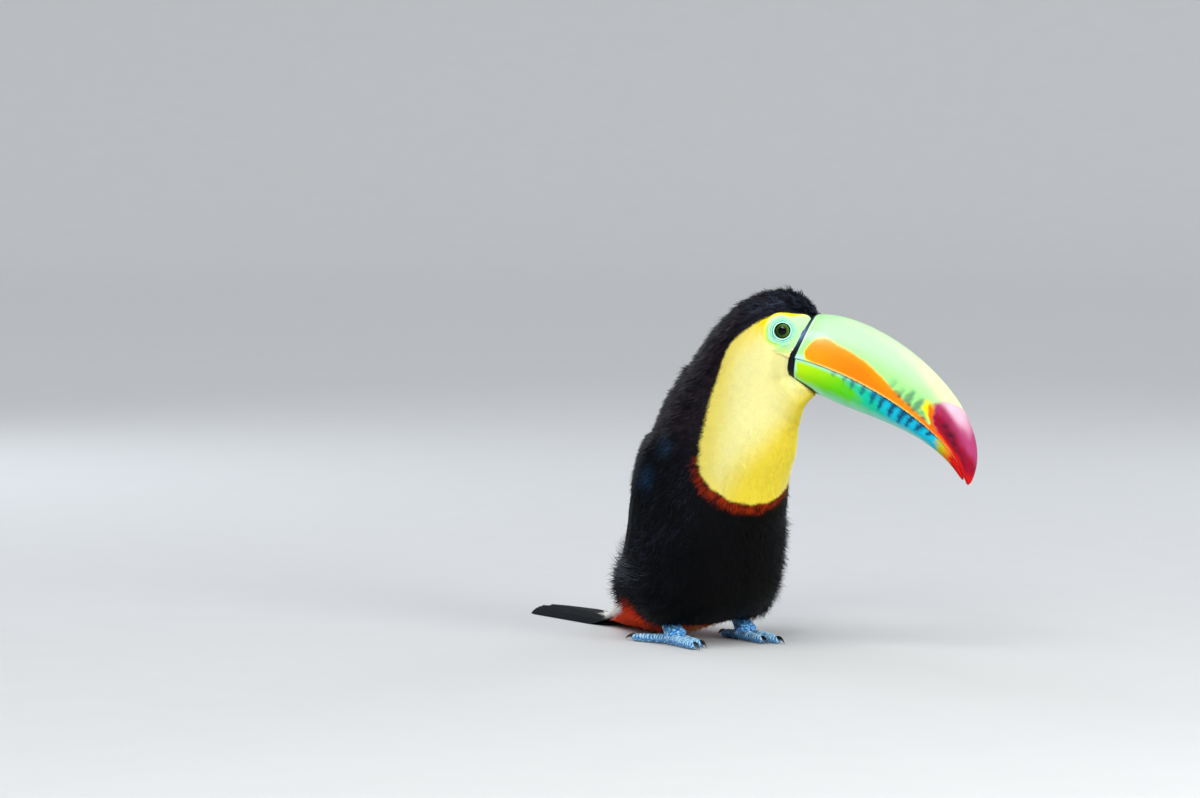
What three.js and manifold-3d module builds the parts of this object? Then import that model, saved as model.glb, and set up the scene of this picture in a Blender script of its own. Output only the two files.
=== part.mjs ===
// A life-size keel-billed toucan, standing with its head turned to its left and its tail laid on the
// floor. Millimetres, +Z up. The trunk faces -Y and the bird's left is +X. All is built from the floor
// between the feet, and at the end the whole group is moved so that its origin is under the middle of
// the bird's bounds.
import * as THREE from "three";
import { mergeVertices } from "three/addons/utils/BufferGeometryUtils.js";
import Module from "manifold-3d";

const wasm = await Module();
wasm.setup();

// ---- driving dimensions -------------------------------------------------------------------------

const GAP = 0.3; // clearance left between touching pieces
const SIDES = [
  ["right", -1],
  ["left", 1],
];

// The head turns and bows about the gape corner on the bird's midline.
const HEAD = { gape: [31, -41, 172], turnDeg: 47, bowDeg: 20 };

// The bill in the head's own level plane, as [forward, up] from the gape corner: three cubic curves that
// meet at the tip.
const BILL = {
  culmen: [[1, 26], [38, 47.5], [134, 12.5], [123.5, -36]],
  gape: [[0, 0], [29, 6.5], [102, -4], [119.5, -31.5]],
  gonys: [[2, -12], [40, -24], [85, -6], [119, -33.5]],
  halfWidth: [15.6, 16.4, 15.6, 13.4, 10.2, 6.5, 2.2], // at even steps from base to tip
  lowerShare: 0.94, // the lower half's width, as a share of the upper's
};
// The feathered head stops at this line, seen from the side: down the bill's base, then forward along
// the chin.
const BILL_BASE = [
  ...[[2, 46], [2, 24], [3, 14], [1.5, 6], [-0.5, 0]], // the upper half's base, down to the gape
  ...[[1.5, -11.5], [7, -13.5], [15, -15.5], [21, -18.5], [27, -40]], // the lower half's, and the chin
];

const EYE = { forward: -8.2, up: 13.8, aside: 15, radius: 7.5 };

// Sections from the bill's base to the tail coverts. Each lies in a plane of its own: "turn" is its
// heading, "tilt" how far its belly side points below the horizontal, "half" its half width, "back" and
// "belly" its two depths.
const HEAD_SECTIONS = [
  // back and belly points as [forward, up] in the level head
  { name: "bill_base", back: [2.5, 28], belly: [21, -16], half: 12.5, middle: 0.5 },
  { name: "forehead", back: [-6, 34.2], belly: [18.5, -20.5], half: 16.2, middle: 0.47 },
  { name: "eyes", back: [-17.5, 35.6], belly: [16.8, -24.5], half: 19.8, middle: 0.44 },
  { name: "crown", back: [-28.5, 30], belly: [16, -28.5], half: 22.9, middle: 0.44 },
  { name: "occiput", back: [-38.5, 20.5], belly: [16.2, -33], half: 25.6, middle: 0.45 },
  { name: "nape", back: [-47, 5], belly: [17, -38], half: 28.4, middle: 0.46 },
];
const BODY_SECTIONS = [
  { name: "upper_neck", at: [11.5, -23.5, 149.5], turn: 40, tilt: 37, half: 30.5, back: 38, belly: 38 },
  { name: "lower_neck", at: [7, -18.5, 137.5], turn: 30, tilt: 27, half: 33.5, back: 40.5, belly: 40 },
  { name: "mantle", at: [4, -12, 124], turn: 17, tilt: 20, half: 38.5, back: 42, belly: 42.5 },
  { name: "shoulders", at: [1.5, -6.5, 108], turn: 7, tilt: 19, half: 41.5, back: 42, belly: 42.5 },
  { name: "chest", at: [0, -0.5, 89], turn: 0, tilt: 21, half: 43.5, back: 41.5, belly: 44.5 },
  { name: "belly", at: [0, 5, 68], turn: 0, tilt: 25, half: 44, back: 41.5, belly: 46 },
  { name: "loins", at: [0, 12.5, 47.5], turn: 0, tilt: 33, half: 44, back: 40, belly: 46 },
  { name: "rump", at: [0, 26.5, 35], turn: 0, tilt: 47, half: 41.5, back: 35, belly: 33.5 },
  { name: "vent", at: [0, 45, 28], turn: 0, tilt: 60, half: 35, back: 24, belly: 25.5 },
  { name: "tail_base", at: [0, 62, 20], turn: 0, tilt: 72, half: 26, back: 12.5, belly: 16.5 },
  { name: "tail_coverts", at: [0, 82, 12.2], turn: 0, tilt: 76, half: 19.5, back: 5.5, belly: 10 },
  { name: "coverts_end", at: [0, 100, 6.2], turn: 0, tilt: 80, half: 14.5, back: 1.8, belly: 2 },
];
const ROUNDNESS = 2.15; // superellipse power of every section: 2 is an ellipse

// "root" and "tip" are how far behind the feet the tail starts and ends, and from "floorFrom" on it lies
// flat.
const TAIL = {
  root: 66,
  tip: 200,
  rootHeight: 15.5,
  floorFrom: 118,
  rootHalf: 14.5,
  tipHalf: 25,
  thick: 2.6,
  edge: 0.8,
};

// A folded wing is a shell on the trunk: "along" is a section number, "upper" and "lower" its edges as
// angles from the spine, both at even steps from shoulder to tip.
const WING = {
  along: [8.15, 15.8],
  upper: [52, 26, 17, 13, 11, 11, 14, 22],
  lower: [64, 92, 104, 108, 106, 98, 84, 58],
  clear: 0.9, // from the body under it
  thick: 3.4,
  tipLift: 2.6,
};

const LEG = { aside: 22, back: 8, height: 26, size: [19.5, 20, 14] };

const FOOT = { aside: 24.5, back: 2, jointHeight: 6.6, heel: [0, 16, 17], shank: 4.6 };
// Heading is in degrees from straight ahead, outwards. Shift is how far outwards of the foot's middle
// the toe starts. Length is to the root of the claw.
const TOES = [
  { name: "inner_front", heading: -1, shift: -2.8, length: 26, half: 3.1, claw: 8.5 },
  { name: "outer_front", heading: 3, shift: 2.9, length: 31, half: 3.3, claw: 9.5 },
  { name: "outer_rear", heading: 156, shift: 2, length: 29, half: 3.0, claw: 8.5 },
  { name: "inner_rear", heading: 190, shift: -2, length: 18, half: 2.8, claw: 7.5 },
];
// How far a claw starts inside its toe, its height there, and its half sizes there.
const CLAW = { overlap: 2.2, rise: 3.1, tall: 1.7, wide: 1.2 };

// ---- small maths --------------------------------------------------------------------------------

const radians = THREE.MathUtils.degToRad;
const lerp = THREE.MathUtils.lerp;
const clamp = THREE.MathUtils.clamp;

// A Catmull-Rom value through a list of numbers, where at = 0 is the first and at = length - 1 the last.
function through(values, at) {
  const last = values.length - 1;
  const i = Math.min(Math.max(Math.floor(at), 0), last - 1);
  const t = at - i;
  const p1 = values[i];
  const p2 = values[i + 1];
  const p0 = i > 0 ? values[i - 1] : 2 * p1 - p2;
  const p3 = i + 2 <= last ? values[i + 2] : 2 * p2 - p1;
  return p1 + 0.5 * t * (p2 - p0 + t * (2 * p0 - 5 * p1 + 4 * p2 - p3 + t * (3 * (p1 - p2) + p3 - p0)));
}

function bezier(points, t) {
  const s = 1 - t;
  const weights = [s ** 3, 3 * t * s * s, 3 * t * t * s, t ** 3];
  return [0, 1].map((k) => weights.reduce((sum, w, i) => sum + w * points[i][k], 0));
}

const signedPower = (x, power) => Math.sign(x) * Math.abs(x) ** power;

// ---- meshes and booleans ------------------------------------------------------------------------

// A closed surface from rings of points. Each ring is closed, and the two end rings are capped by a fan
// to their mean.
function closedLoft(ringCount, sideCount, pointAt) {
  const position = [];
  for (let i = 0; i < ringCount; i++)
    for (let j = 0; j < sideCount; j++) position.push(...pointAt(i / (ringCount - 1), j / sideCount));
  const index = [];
  for (let i = 0; i < ringCount - 1; i++)
    for (let j = 0; j < sideCount; j++) {
      const a = i * sideCount + j;
      const b = i * sideCount + ((j + 1) % sideCount);
      index.push(a, b, a + sideCount, b, b + sideCount, a + sideCount);
    }
  for (const ring of [0, ringCount - 1]) {
    const start = ring * sideCount;
    const middle = [0, 0, 0];
    for (let j = 0; j < sideCount; j++)
      for (let k = 0; k < 3; k++) middle[k] += position[(start + j) * 3 + k] / sideCount;
    const hub = position.length / 3;
    position.push(...middle);
    for (let j = 0; j < sideCount; j++) {
      const a = start + j;
      const b = start + ((j + 1) % sideCount);
      index.push(...(ring ? [a, b, hub] : [b, a, hub]));
    }
  }
  const geometry = new THREE.BufferGeometry();
  geometry.setAttribute("position", new THREE.Float32BufferAttribute(position, 3));
  geometry.setIndex(index);
  return facingOut(geometry);
}

// Turns every face round if the closed surface has a negative volume.
function facingOut(geometry) {
  const p = geometry.attributes.position;
  const index = geometry.index.array;
  const [a, b, c] = [new THREE.Vector3(), new THREE.Vector3(), new THREE.Vector3()];
  let volume = 0;
  for (let i = 0; i < index.length; i += 3) {
    a.fromBufferAttribute(p, index[i]);
    b.fromBufferAttribute(p, index[i + 1]);
    c.fromBufferAttribute(p, index[i + 2]);
    volume += a.dot(b.cross(c));
  }
  if (volume < 0)
    for (let i = 0; i < index.length; i += 3) [index[i + 1], index[i + 2]] = [index[i + 2], index[i + 1]];
  return geometry;
}

function toSolid(geometry) {
  const bare = geometry.clone();
  for (const name of Object.keys(bare.attributes)) if (name !== "position") bare.deleteAttribute(name);
  const merged = mergeVertices(bare, 1e-4);
  return new wasm.Manifold(
    new wasm.Mesh({
      numProp: 3,
      vertProperties: merged.attributes.position.array,
      triVerts: new Uint32Array(merged.index.array),
    }),
  );
}

// The largest body of a solid, as a geometry, so that slivers left by a cut are dropped.
function toGeometry(solid) {
  const bodies = solid.decompose().sort((p, q) => q.volume() - p.volume());
  const mesh = bodies[0].getMesh();
  const geometry = new THREE.BufferGeometry();
  geometry.setAttribute("position", new THREE.Float32BufferAttribute(mesh.vertProperties, 3));
  geometry.setIndex(new THREE.BufferAttribute(mesh.triVerts, 1));
  return geometry;
}

// Everything below the floor, as a solid to cut with.
function belowFloor() {
  const slab = new THREE.BoxGeometry(400, 600, 40);
  slab.translate(0, 50, -20);
  return toSolid(slab);
}

// ---- the head's own frame -----------------------------------------------------------------------

function headingOf(turnDeg) {
  const turn = radians(turnDeg);
  return {
    ahead: new THREE.Vector3(Math.sin(turn), -Math.cos(turn), 0),
    aside: new THREE.Vector3(Math.cos(turn), Math.sin(turn), 0),
  };
}

// A point of the level head, [forward, up] on the midline and aside to the bird's left, in the row
// frame.
function headPoint(forward, up, aside = 0) {
  const bow = radians(HEAD.bowDeg);
  const heading = headingOf(HEAD.turnDeg);
  return new THREE.Vector3(...HEAD.gape)
    .addScaledVector(heading.ahead, forward * Math.cos(bow) + up * Math.sin(bow))
    .addScaledVector(heading.aside, aside)
    .add(new THREE.Vector3(0, 0, up * Math.cos(bow) - forward * Math.sin(bow)));
}

// ---- the body: one loft from bill to tail coverts -----------------------------------------------

// A head section given by its two outline points, as the same kind of row as a body section.
function fromOutline({ name, back, belly, half, middle }) {
  const span = [belly[0] - back[0], belly[1] - back[1]];
  const depth = Math.hypot(...span);
  const centre = headPoint(back[0] + span[0] * middle, back[1] + span[1] * middle);
  const tilt = THREE.MathUtils.radToDeg(Math.atan2(-span[1], span[0])) + HEAD.bowDeg;
  const row = { name, at: centre.toArray(), turn: HEAD.turnDeg, tilt, half };
  return { ...row, back: depth * middle, belly: depth * (1 - middle) };
}

const SECTIONS = [...HEAD_SECTIONS.map(fromOutline), ...BODY_SECTIONS];
const sectionNumber = (name) => SECTIONS.findIndex((s) => s.name === name);
const sectionValue = (key, at) => through(SECTIONS.map((s) => s[key]), at);

// A point of the body's surface: at is a section number, angle runs from the spine (0) by the left side
// to the belly.
function bodyPoint(at, angle, grow = 0) {
  const heading = headingOf(sectionValue("turn", at));
  const tilt = radians(sectionValue("tilt", at));
  const toBelly = heading.ahead.clone().multiplyScalar(Math.cos(tilt));
  toBelly.z -= Math.sin(tilt);
  const depth = sectionValue(Math.cos(angle) > 0 ? "back" : "belly", at) + grow;
  const half = sectionValue("half", at) + grow;
  const power = 2 / ROUNDNESS;
  return new THREE.Vector3(...[0, 1, 2].map((k) => through(SECTIONS.map((s) => s.at[k]), at)))
    .addScaledVector(heading.aside, half * signedPower(Math.sin(angle), power))
    .addScaledVector(toBelly, -depth * signedPower(Math.cos(angle), power));
}

// The outward normal, from the two ways the surface runs.
function bodyNormal(at, angle) {
  const step = 1e-3;
  const along = bodyPoint(at + step, angle).sub(bodyPoint(at - step, angle));
  const round = bodyPoint(at, angle + step).sub(bodyPoint(at, angle - step));
  return round.cross(along).normalize();
}

function bodyStretch(from, to, rings, sides, grow = 0) {
  const pointAt = (t, turn) => bodyPoint(lerp(from, to, t), turn * 2 * Math.PI, grow).toArray();
  return closedLoft(rings, sides, pointAt);
}

const HEAD_END = sectionNumber("nape") + 0.5;
const NECK_END = sectionNumber("shoulders") - 0.3;
const LAST = SECTIONS.length - 1;
const PARTING = { head: 0.03, neck: 0.014 }; // in section numbers, for a gap of about GAP at its narrowest

function trunkSolid(grow = 0) {
  return toSolid(bodyStretch(NECK_END + (grow ? 0 : PARTING.neck), LAST, 19, 26, grow));
}

function neckSolid(grow = 0) {
  return toSolid(bodyStretch(HEAD_END, NECK_END, 9, 26, grow));
}

// ---- the bill -----------------------------------------------------------------------------------

const billHalfWidth = (t) => through(BILL.halfWidth, t * (BILL.halfWidth.length - 1));

// A closed half of the bill. rim is the curve it shares with the gape, ridge the culmen or gonys, and
// each section is a rounded arch from the gape line to the ridge, with a nearly flat face along the
// gape.
function billHalf(ridge, share, roundness, grow) {
  const rings = 19;
  const sides = 16;
  const clear = GAP / 2 - grow;
  return closedLoft(rings, sides, (t, turn) => {
    const along = Math.sin((t * Math.PI) / 2) ** 1.15; // closer rings towards the tip
    const low = bezier(BILL.gape, along);
    const high = bezier(ridge, along);
    const rise = [high[0] - low[0], high[1] - low[1]];
    const depth = Math.hypot(...rise);
    const unit = [rise[0] / depth, rise[1] / depth];
    const angle = turn * 2 * Math.PI;
    const half = billHalfWidth(along) * share + grow;
    const lift = Math.sin(angle);
    const up = lift > 0 ? clear + (depth + grow - clear) * lift ** roundness : clear * (1 + 0.3 * lift);
    const aside = half * signedPower(Math.cos(angle), 0.85);
    return headPoint(low[0] + unit[0] * up, low[1] + unit[1] * up, aside).toArray();
  });
}

const upperBill = (grow = 0) => billHalf(BILL.culmen, 1, 0.92, grow);
const lowerBill = (grow = 0) => billHalf(BILL.gonys, BILL.lowerShare, 0.8, grow);

// Everything in front of the feathers' edge, as a slab across the head to cut with.
function beforeBillBase() {
  const outline = [...BILL_BASE, [150, -40], [150, 46]].map((corner) => new THREE.Vector2(...corner));
  const slab = new THREE.ExtrudeGeometry(new THREE.Shape(outline), { depth: 80, bevelEnabled: false });
  const zero = headPoint(0, 0);
  const forward = headPoint(1, 0).sub(zero);
  const up = headPoint(0, 1).sub(zero);
  const aside = headPoint(0, 0, 1).sub(zero);
  slab.translate(0, 0, -40);
  slab.applyMatrix4(new THREE.Matrix4().makeBasis(forward, up, aside).setPosition(zero));
  return toSolid(facingOut(mergeVertices(slab.deleteAttribute("normal").deleteAttribute("uv"), 1e-4)));
}

// ---- eyes ---------------------------------------------------------------------------------------

function eyeBall(side, grow = 0) {
  const ball = new THREE.SphereGeometry(EYE.radius + grow, 14, 10);
  const centre = headPoint(EYE.forward, EYE.up, side * EYE.aside);
  ball.translate(...centre.toArray());
  return ball;
}

// ---- wings --------------------------------------------------------------------------------------

// A folded wing: the outer and inner faces of a shell over the trunk, joined round its edge.
function wing(side) {
  const rings = 18;
  const across = 7;
  return closedLoft(rings, across * 2, (t, turn) => {
    const at = lerp(...WING.along, t);
    const steps = t * (WING.upper.length - 1);
    const outer = turn < 0.5;
    const step = turn * across * 2;
    const share = (outer ? step : across * 2 - step - 1) / (across - 1);
    const edges = [through(WING.upper, steps), through(WING.lower, steps)];
    const angle = radians(lerp(...edges, clamp(share, 0, 1)));
    const crown = 1 - (2 * share - 1) ** 4;
    const lift = WING.clear + WING.tipLift * t ** 3;
    const fullness = (1 - 0.55 * t) * Math.sin(Math.PI * Math.min(1, t + 0.12)) ** 0.4;
    const thick = 0.8 + WING.thick * crown * fullness;
    const out = outer ? lift + thick : lift;
    const signed = side * angle;
    return bodyPoint(at, signed).addScaledVector(bodyNormal(at, signed), out).toArray();
  });
}

// ---- tail ---------------------------------------------------------------------------------------

// Closed tail feathers as one slab: it slopes from the rump to the floor, widens, and ends in a rounded
// tip.
function tail() {
  const rings = 16;
  const sides = 10;
  const length = TAIL.tip - TAIL.root;
  return closedLoft(rings, sides, (t, turn) => {
    const along = Math.sin((t * Math.PI) / 2);
    const y = TAIL.root + length * along;
    const fall = clamp((TAIL.floorFrom - y) / (TAIL.floorFrom - TAIL.root), 0, 1);
    const bottom = TAIL.rootHeight * fall ** 1.6;
    const roundTip = Math.sqrt(Math.max(0, 1 - clamp((along - 0.84) / 0.16, 0, 0.985) ** 2));
    const half = lerp(TAIL.rootHalf, TAIL.tipHalf, along ** 0.8) * roundTip;
    const angle = turn * 2 * Math.PI;
    const aside = half * signedPower(Math.cos(angle), 0.7);
    const height = TAIL.edge + (TAIL.thick - TAIL.edge) * Math.abs(Math.sin(angle));
    return [aside, y, bottom + (Math.sin(angle) > 0 ? height : 0)];
  });
}

// ---- legs and feet ------------------------------------------------------------------------------

function thigh(side, grow = 0) {
  const ball = new THREE.SphereGeometry(1, 18, 10);
  ball.rotateX(Math.PI / 2);
  ball.scale(...LEG.size.map((r) => r + grow));
  ball.translate(side * LEG.aside, LEG.back, LEG.height);
  return ball;
}

// Where a toe runs: its own forward direction.
function toeHeading(toe, side) {
  const turn = radians(toe.heading);
  return new THREE.Vector3(side * Math.sin(turn), -Math.cos(turn), 0);
}

// Where a toe starts, at a height above the floor.
function toeRoot(toe, side, height) {
  return new THREE.Vector3(side * (FOOT.aside + toe.shift), FOOT.back, height);
}

const TOE_ROOT_HEIGHT = 3;
const TOE_TIP_HEIGHT = 2.1;

// A toe: a tube with a swelling at each joint, lower and thinner towards its tip.
function toeTube(toe, side) {
  const ahead = toeHeading(toe, side);
  const across = new THREE.Vector3(-ahead.y, ahead.x, 0);
  const joints = 3;
  return closedLoft(8, 8, (t, turn) => {
    const swell = 1 + 0.07 * Math.cos(2 * Math.PI * joints * t);
    const round = Math.sqrt(Math.max(0.03, 1 - clamp((t - 0.86) / 0.14, 0, 1) ** 2));
    const half = toe.half * lerp(1, 0.74, t) * swell * round;
    const centre = lerp(TOE_ROOT_HEIGHT, TOE_TIP_HEIGHT, t);
    const angle = turn * 2 * Math.PI;
    return toeRoot(toe, side, centre)
      .addScaledVector(ahead, toe.length * t)
      .addScaledVector(across, half * Math.cos(angle))
      .add(new THREE.Vector3(0, 0, half * 1.02 * Math.sin(angle)))
      .toArray();
  });
}

// The scaled shank from the toes' root up into the leg feathers.
function shankTube(side) {
  const foot = new THREE.Vector3(side * FOOT.aside, FOOT.back, FOOT.jointHeight);
  const heel = foot.clone().add(new THREE.Vector3(...FOOT.heel));
  const path = new THREE.LineCurve3(foot, heel);
  const section = new THREE.Shape().absarc(0, 0, FOOT.shank, 0, 2 * Math.PI);
  return new THREE.ExtrudeGeometry(section, { steps: 1, curveSegments: 4, extrudePath: path });
}

function footSolid(side) {
  const knuckle = new THREE.SphereGeometry(1, 12, 8);
  knuckle.scale(6.8, 6.6, 6.2);
  knuckle.translate(side * FOOT.aside, FOOT.back, FOOT.jointHeight - 0.6);
  let foot = toSolid(knuckle).add(toSolid(shankTube(side)));
  for (const toe of TOES) foot = foot.add(toSolid(toeTube(toe, side)));
  return foot;
}

// A claw: a tapering hook that curves down from the toe's tip and stops just above the floor.
function claw(toe, side, grow = 0) {
  const ahead = toeHeading(toe, side);
  const across = new THREE.Vector3(-ahead.y, ahead.x, 0);
  const root = toe.length - CLAW.overlap;
  return closedLoft(5, 7, (t, turn) => {
    const bend = radians(lerp(-18, 62, t));
    const reach = toe.claw * (t - 0.18 * t * t);
    const height = CLAW.rise + toe.claw * (0.3 * t - 0.53 * t * t);
    const taper = lerp(1, 0.16, t ** 1.2);
    const angle = turn * 2 * Math.PI;
    const up = (CLAW.tall * taper + grow) * Math.sin(angle);
    return toeRoot(toe, side, height)
      .addScaledVector(ahead, root + reach + up * Math.sin(bend))
      .addScaledVector(across, (CLAW.wide * taper + grow) * Math.cos(angle))
      .add(new THREE.Vector3(0, 0, up * Math.cos(bend)))
      .toArray();
  });
}

// ---- materials ----------------------------------------------------------------------------------

function finish(color, roughness) {
  return new THREE.MeshStandardMaterial({ color, roughness, metalness: 0 });
}
const FINISH = {
  blackPlumage: finish(0x121216, 0.75),
  faceAndBib: finish(0xf7ea5a, 0.8),
  upperBill: finish(0xb9ef9a, 0.3),
  lowerBill: finish(0x3fc79a, 0.3),
  eye: finish(0x1c2a14, 0.08),
  wingPlumage: finish(0x0e141b, 0.55),
  footScale: finish(0x3f9fe0, 0.5),
  claw: finish(0x171a20, 0.35),
};

// ---- the model ----------------------------------------------------------------------------------

const toucan = new THREE.Group();

function place(name, geometry, material) {
  const mesh = new THREE.Mesh(geometry, material);
  mesh.name = name;
  toucan.add(mesh);
}

function buildHead() {
  let head = toSolid(bodyStretch(0, HEAD_END - PARTING.head, 14, 26));
  head = head.subtract(beforeBillBase());
  head = head.subtract(toSolid(upperBill(GAP))).subtract(toSolid(lowerBill(GAP)));
  for (const [, side] of SIDES) head = head.subtract(toSolid(eyeBall(side, GAP)));
  place("head", toGeometry(head), FINISH.faceAndBib);
  place("bill_upper", upperBill(), FINISH.upperBill);
  place("bill_lower", lowerBill(), FINISH.lowerBill);
  for (const [name, side] of SIDES) place("eye_" + name, eyeBall(side), FINISH.eye);
}

function buildTrunk() {
  place("neck", bodyStretch(HEAD_END, NECK_END, 9, 26), FINISH.faceAndBib);
  place("trunk", bodyStretch(NECK_END + PARTING.neck, LAST, 19, 26), FINISH.blackPlumage);
  const under = trunkSolid(GAP).add(neckSolid(GAP));
  for (const [name, side] of SIDES)
    place("wing_" + name, toGeometry(toSolid(wing(side)).subtract(under)), FINISH.wingPlumage);
  place("tail", toGeometry(toSolid(tail()).subtract(trunkSolid(GAP))), FINISH.wingPlumage);
}

function buildLeg(name, side) {
  const trunk = trunkSolid(GAP);
  place("thigh_" + name, toGeometry(toSolid(thigh(side)).subtract(trunk)), FINISH.blackPlumage);
  let foot = footSolid(side).subtract(trunk).subtract(toSolid(thigh(side, GAP))).subtract(belowFloor());
  for (const toe of TOES) foot = foot.subtract(toSolid(claw(toe, side, GAP)));
  place("foot_" + name, toGeometry(foot), FINISH.footScale);
  for (const toe of TOES) place(`claw_${name}_${toe.name}`, claw(toe, side), FINISH.claw);
}

// Puts the origin on the floor under the middle of the bird's bounds.
function centreOnFloor() {
  const bounds = new THREE.Box3().setFromObject(toucan);
  const middle = bounds.getCenter(new THREE.Vector3());
  toucan.position.set(-middle.x, -middle.y, -bounds.min.z);
}

buildHead();
buildTrunk();
for (const [name, side] of SIDES) buildLeg(name, side);
centreOnFloor();

export default toucan;
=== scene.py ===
"""The looks of a life-size keel-billed toucan: skin, feathers, bill, eyes, legs, wings, tail and its floor.

Every shape is worked out in the bird's own frame, in millimetres: the origin is on the floor between the
feet, -Y is ahead of the trunk and +X is the bird's left. The last step of each mesh moves it to the row
frame, in metres.
"""
import logging
import math
from dataclasses import dataclass, field
from enum import Enum
from typing import Callable

import bpy
import numpy as np
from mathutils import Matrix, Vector


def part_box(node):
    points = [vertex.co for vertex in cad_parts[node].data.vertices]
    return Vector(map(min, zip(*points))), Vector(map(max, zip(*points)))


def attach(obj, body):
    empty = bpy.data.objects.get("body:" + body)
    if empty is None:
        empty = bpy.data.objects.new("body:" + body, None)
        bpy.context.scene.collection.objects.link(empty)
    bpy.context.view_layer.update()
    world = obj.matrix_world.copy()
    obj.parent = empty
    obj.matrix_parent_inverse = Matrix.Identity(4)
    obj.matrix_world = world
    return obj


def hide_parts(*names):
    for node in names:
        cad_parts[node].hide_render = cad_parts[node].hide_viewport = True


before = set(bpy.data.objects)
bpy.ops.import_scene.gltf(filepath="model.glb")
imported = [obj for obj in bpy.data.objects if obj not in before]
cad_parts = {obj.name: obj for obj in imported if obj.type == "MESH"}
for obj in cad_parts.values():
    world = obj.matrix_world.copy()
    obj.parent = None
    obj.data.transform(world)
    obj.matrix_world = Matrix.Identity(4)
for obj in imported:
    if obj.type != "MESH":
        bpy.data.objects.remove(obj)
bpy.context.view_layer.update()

LOG = logging.getLogger("toucan")
MM = 0.001
TURN = 2 * math.pi
UP = np.array([0.0, 0.0, 1.0])
BODY = "root"
TAIL_LENGTH_FROM_FEET = 200
TAIL_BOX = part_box("tail")
FEET = np.array([(TAIL_BOX[0].x + TAIL_BOX[1].x) / 2 / MM, TAIL_BOX[1].y / MM - TAIL_LENGTH_FROM_FEET, 0.0])
RANDOM = np.random.default_rng(7)

Array = np.ndarray
Masks = dict[str, Array]
Pair = tuple[float, float]
Place = tuple[float, float, float]
Spread = Callable[[Array, Array], Array]  # a value at each pair of a surface's parameters
Material = bpy.types.Material
Node = bpy.types.Node
Tree = bpy.types.NodeTree


class Side(Enum):
    """A side of the bird, and the sign of its X."""

    RIGHT = -1
    LEFT = 1

    @property
    def word(self) -> str:
        """The side's name in lower case."""
        return self.name.lower()


# ---- small maths ----


def through(values: Array, at: Array) -> Array:
    """A smooth curve through evenly spaced values.

    Between two neighbours it is the cubic whose slope at each is half the step from the one before to the
    one after (Catmull-Rom). Past an end the values are taken to run on straight.

    Args:
        values: One value, or one row of values, per whole number.
        at: Where to read it, from 0 to the number of values less one.

    Returns:
        The value at each place.
    """
    values = np.asarray(values, float)
    at = np.asarray(at, float)
    last = len(values) - 1
    i = np.clip(np.floor(at).astype(int), 0, last - 1)
    t = at - i
    run = np.concatenate([[2 * values[0] - values[1]], values, [2 * values[-1] - values[-2]]])
    p0, p1, p2, p3 = run[i], run[i + 1], run[i + 2], run[i + 3]
    if values.ndim > 1:
        t = t[..., None]
    return p1 + 0.5 * t * (p2 - p0 + t * (2 * p0 - 5 * p1 + 4 * p2 - p3 + t * (3 * (p1 - p2) + p3 - p0)))


def course(at: Array, places: tuple, values: tuple) -> Array:
    """A smooth curve through values at uneven places, level beyond the ends.

    Between two places it is the cubic with the given values there, and with slopes taken from the neighbours
    on either side (Hermite).

    Args:
        at: Where to read it.
        places: The places, rising.
        values: The value at each.

    Returns:
        The value at each place read.
    """
    x, y = np.asarray(places, float), np.asarray(values, float)
    slope = np.gradient(y, x)
    i = np.clip(np.searchsorted(x, at, side="right") - 1, 0, len(x) - 2)
    run = x[i + 1] - x[i]
    t = np.clip((at - x[i]) / run, 0, 1)
    ahead = y[i + 1] * t * t * (3 - 2 * t) + slope[i + 1] * run * t * t * (t - 1)
    return y[i] * (1 - t * t * (3 - 2 * t)) + slope[i] * run * t * (1 - t) ** 2 + ahead


def bezier(points: Array, t: Array) -> Array:
    """A cubic curve: the four points weighted by (1-t)^3, 3t(1-t)^2, 3t^2(1-t) and t^3."""
    t = np.asarray(t, float)[..., None]
    s = 1 - t
    return s**3 * points[0] + 3 * t * s * s * points[1] + 3 * t * t * s * points[2] + t**3 * points[3]


def signed_power(x: Array, power: float) -> Array:
    """The size of x raised to a power, with x's own sign."""
    return np.sign(x) * np.abs(x) ** power


def ramp(low: float, high: float, x: Array) -> Array:
    """0 below low, 1 above high, and the S-curve 3k^2 - 2k^3 between."""
    k = np.clip((np.asarray(x, float) - low) / (high - low), 0, 1)
    return k * k * (3 - 2 * k)


def bump(x: Array, centre: float, half: float) -> Array:
    """A bell, exp(-(distance / half)^2)."""
    return np.exp(-(((np.asarray(x, float) - centre) / half) ** 2))


def unit(v: Array) -> Array:
    """Each vector divided by its length."""
    return v / (np.linalg.norm(v, axis=-1, keepdims=True) + 1e-12)


def waves(x: Array, y: Array, size: float, seed: int, count: int = 6) -> Array:
    """Soft noise between about -1 and 1: a sum of sine waves of random direction, each about size long.

    Args:
        x: First coordinate.
        y: Second coordinate.
        size: Mean length of a wave, in the coordinates' unit.
        seed: Picks the waves.
        count: Number of waves.

    Returns:
        The noise at each place.
    """
    draw = np.random.default_rng(seed)
    total = np.zeros(np.broadcast(x, y).shape)
    ranges = ((0, TURN), (0.6, 1.6), (0, TURN))
    turns, lengths, phases = (draw.uniform(low, high, count) for low, high in ranges)
    for turn, length, phase in zip(turns, lengths * size, phases):
        total += np.sin(TURN * (x * np.cos(turn) + y * np.sin(turn)) / length + phase)
    return total / math.sqrt(count)


# ---- meshes ----


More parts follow.
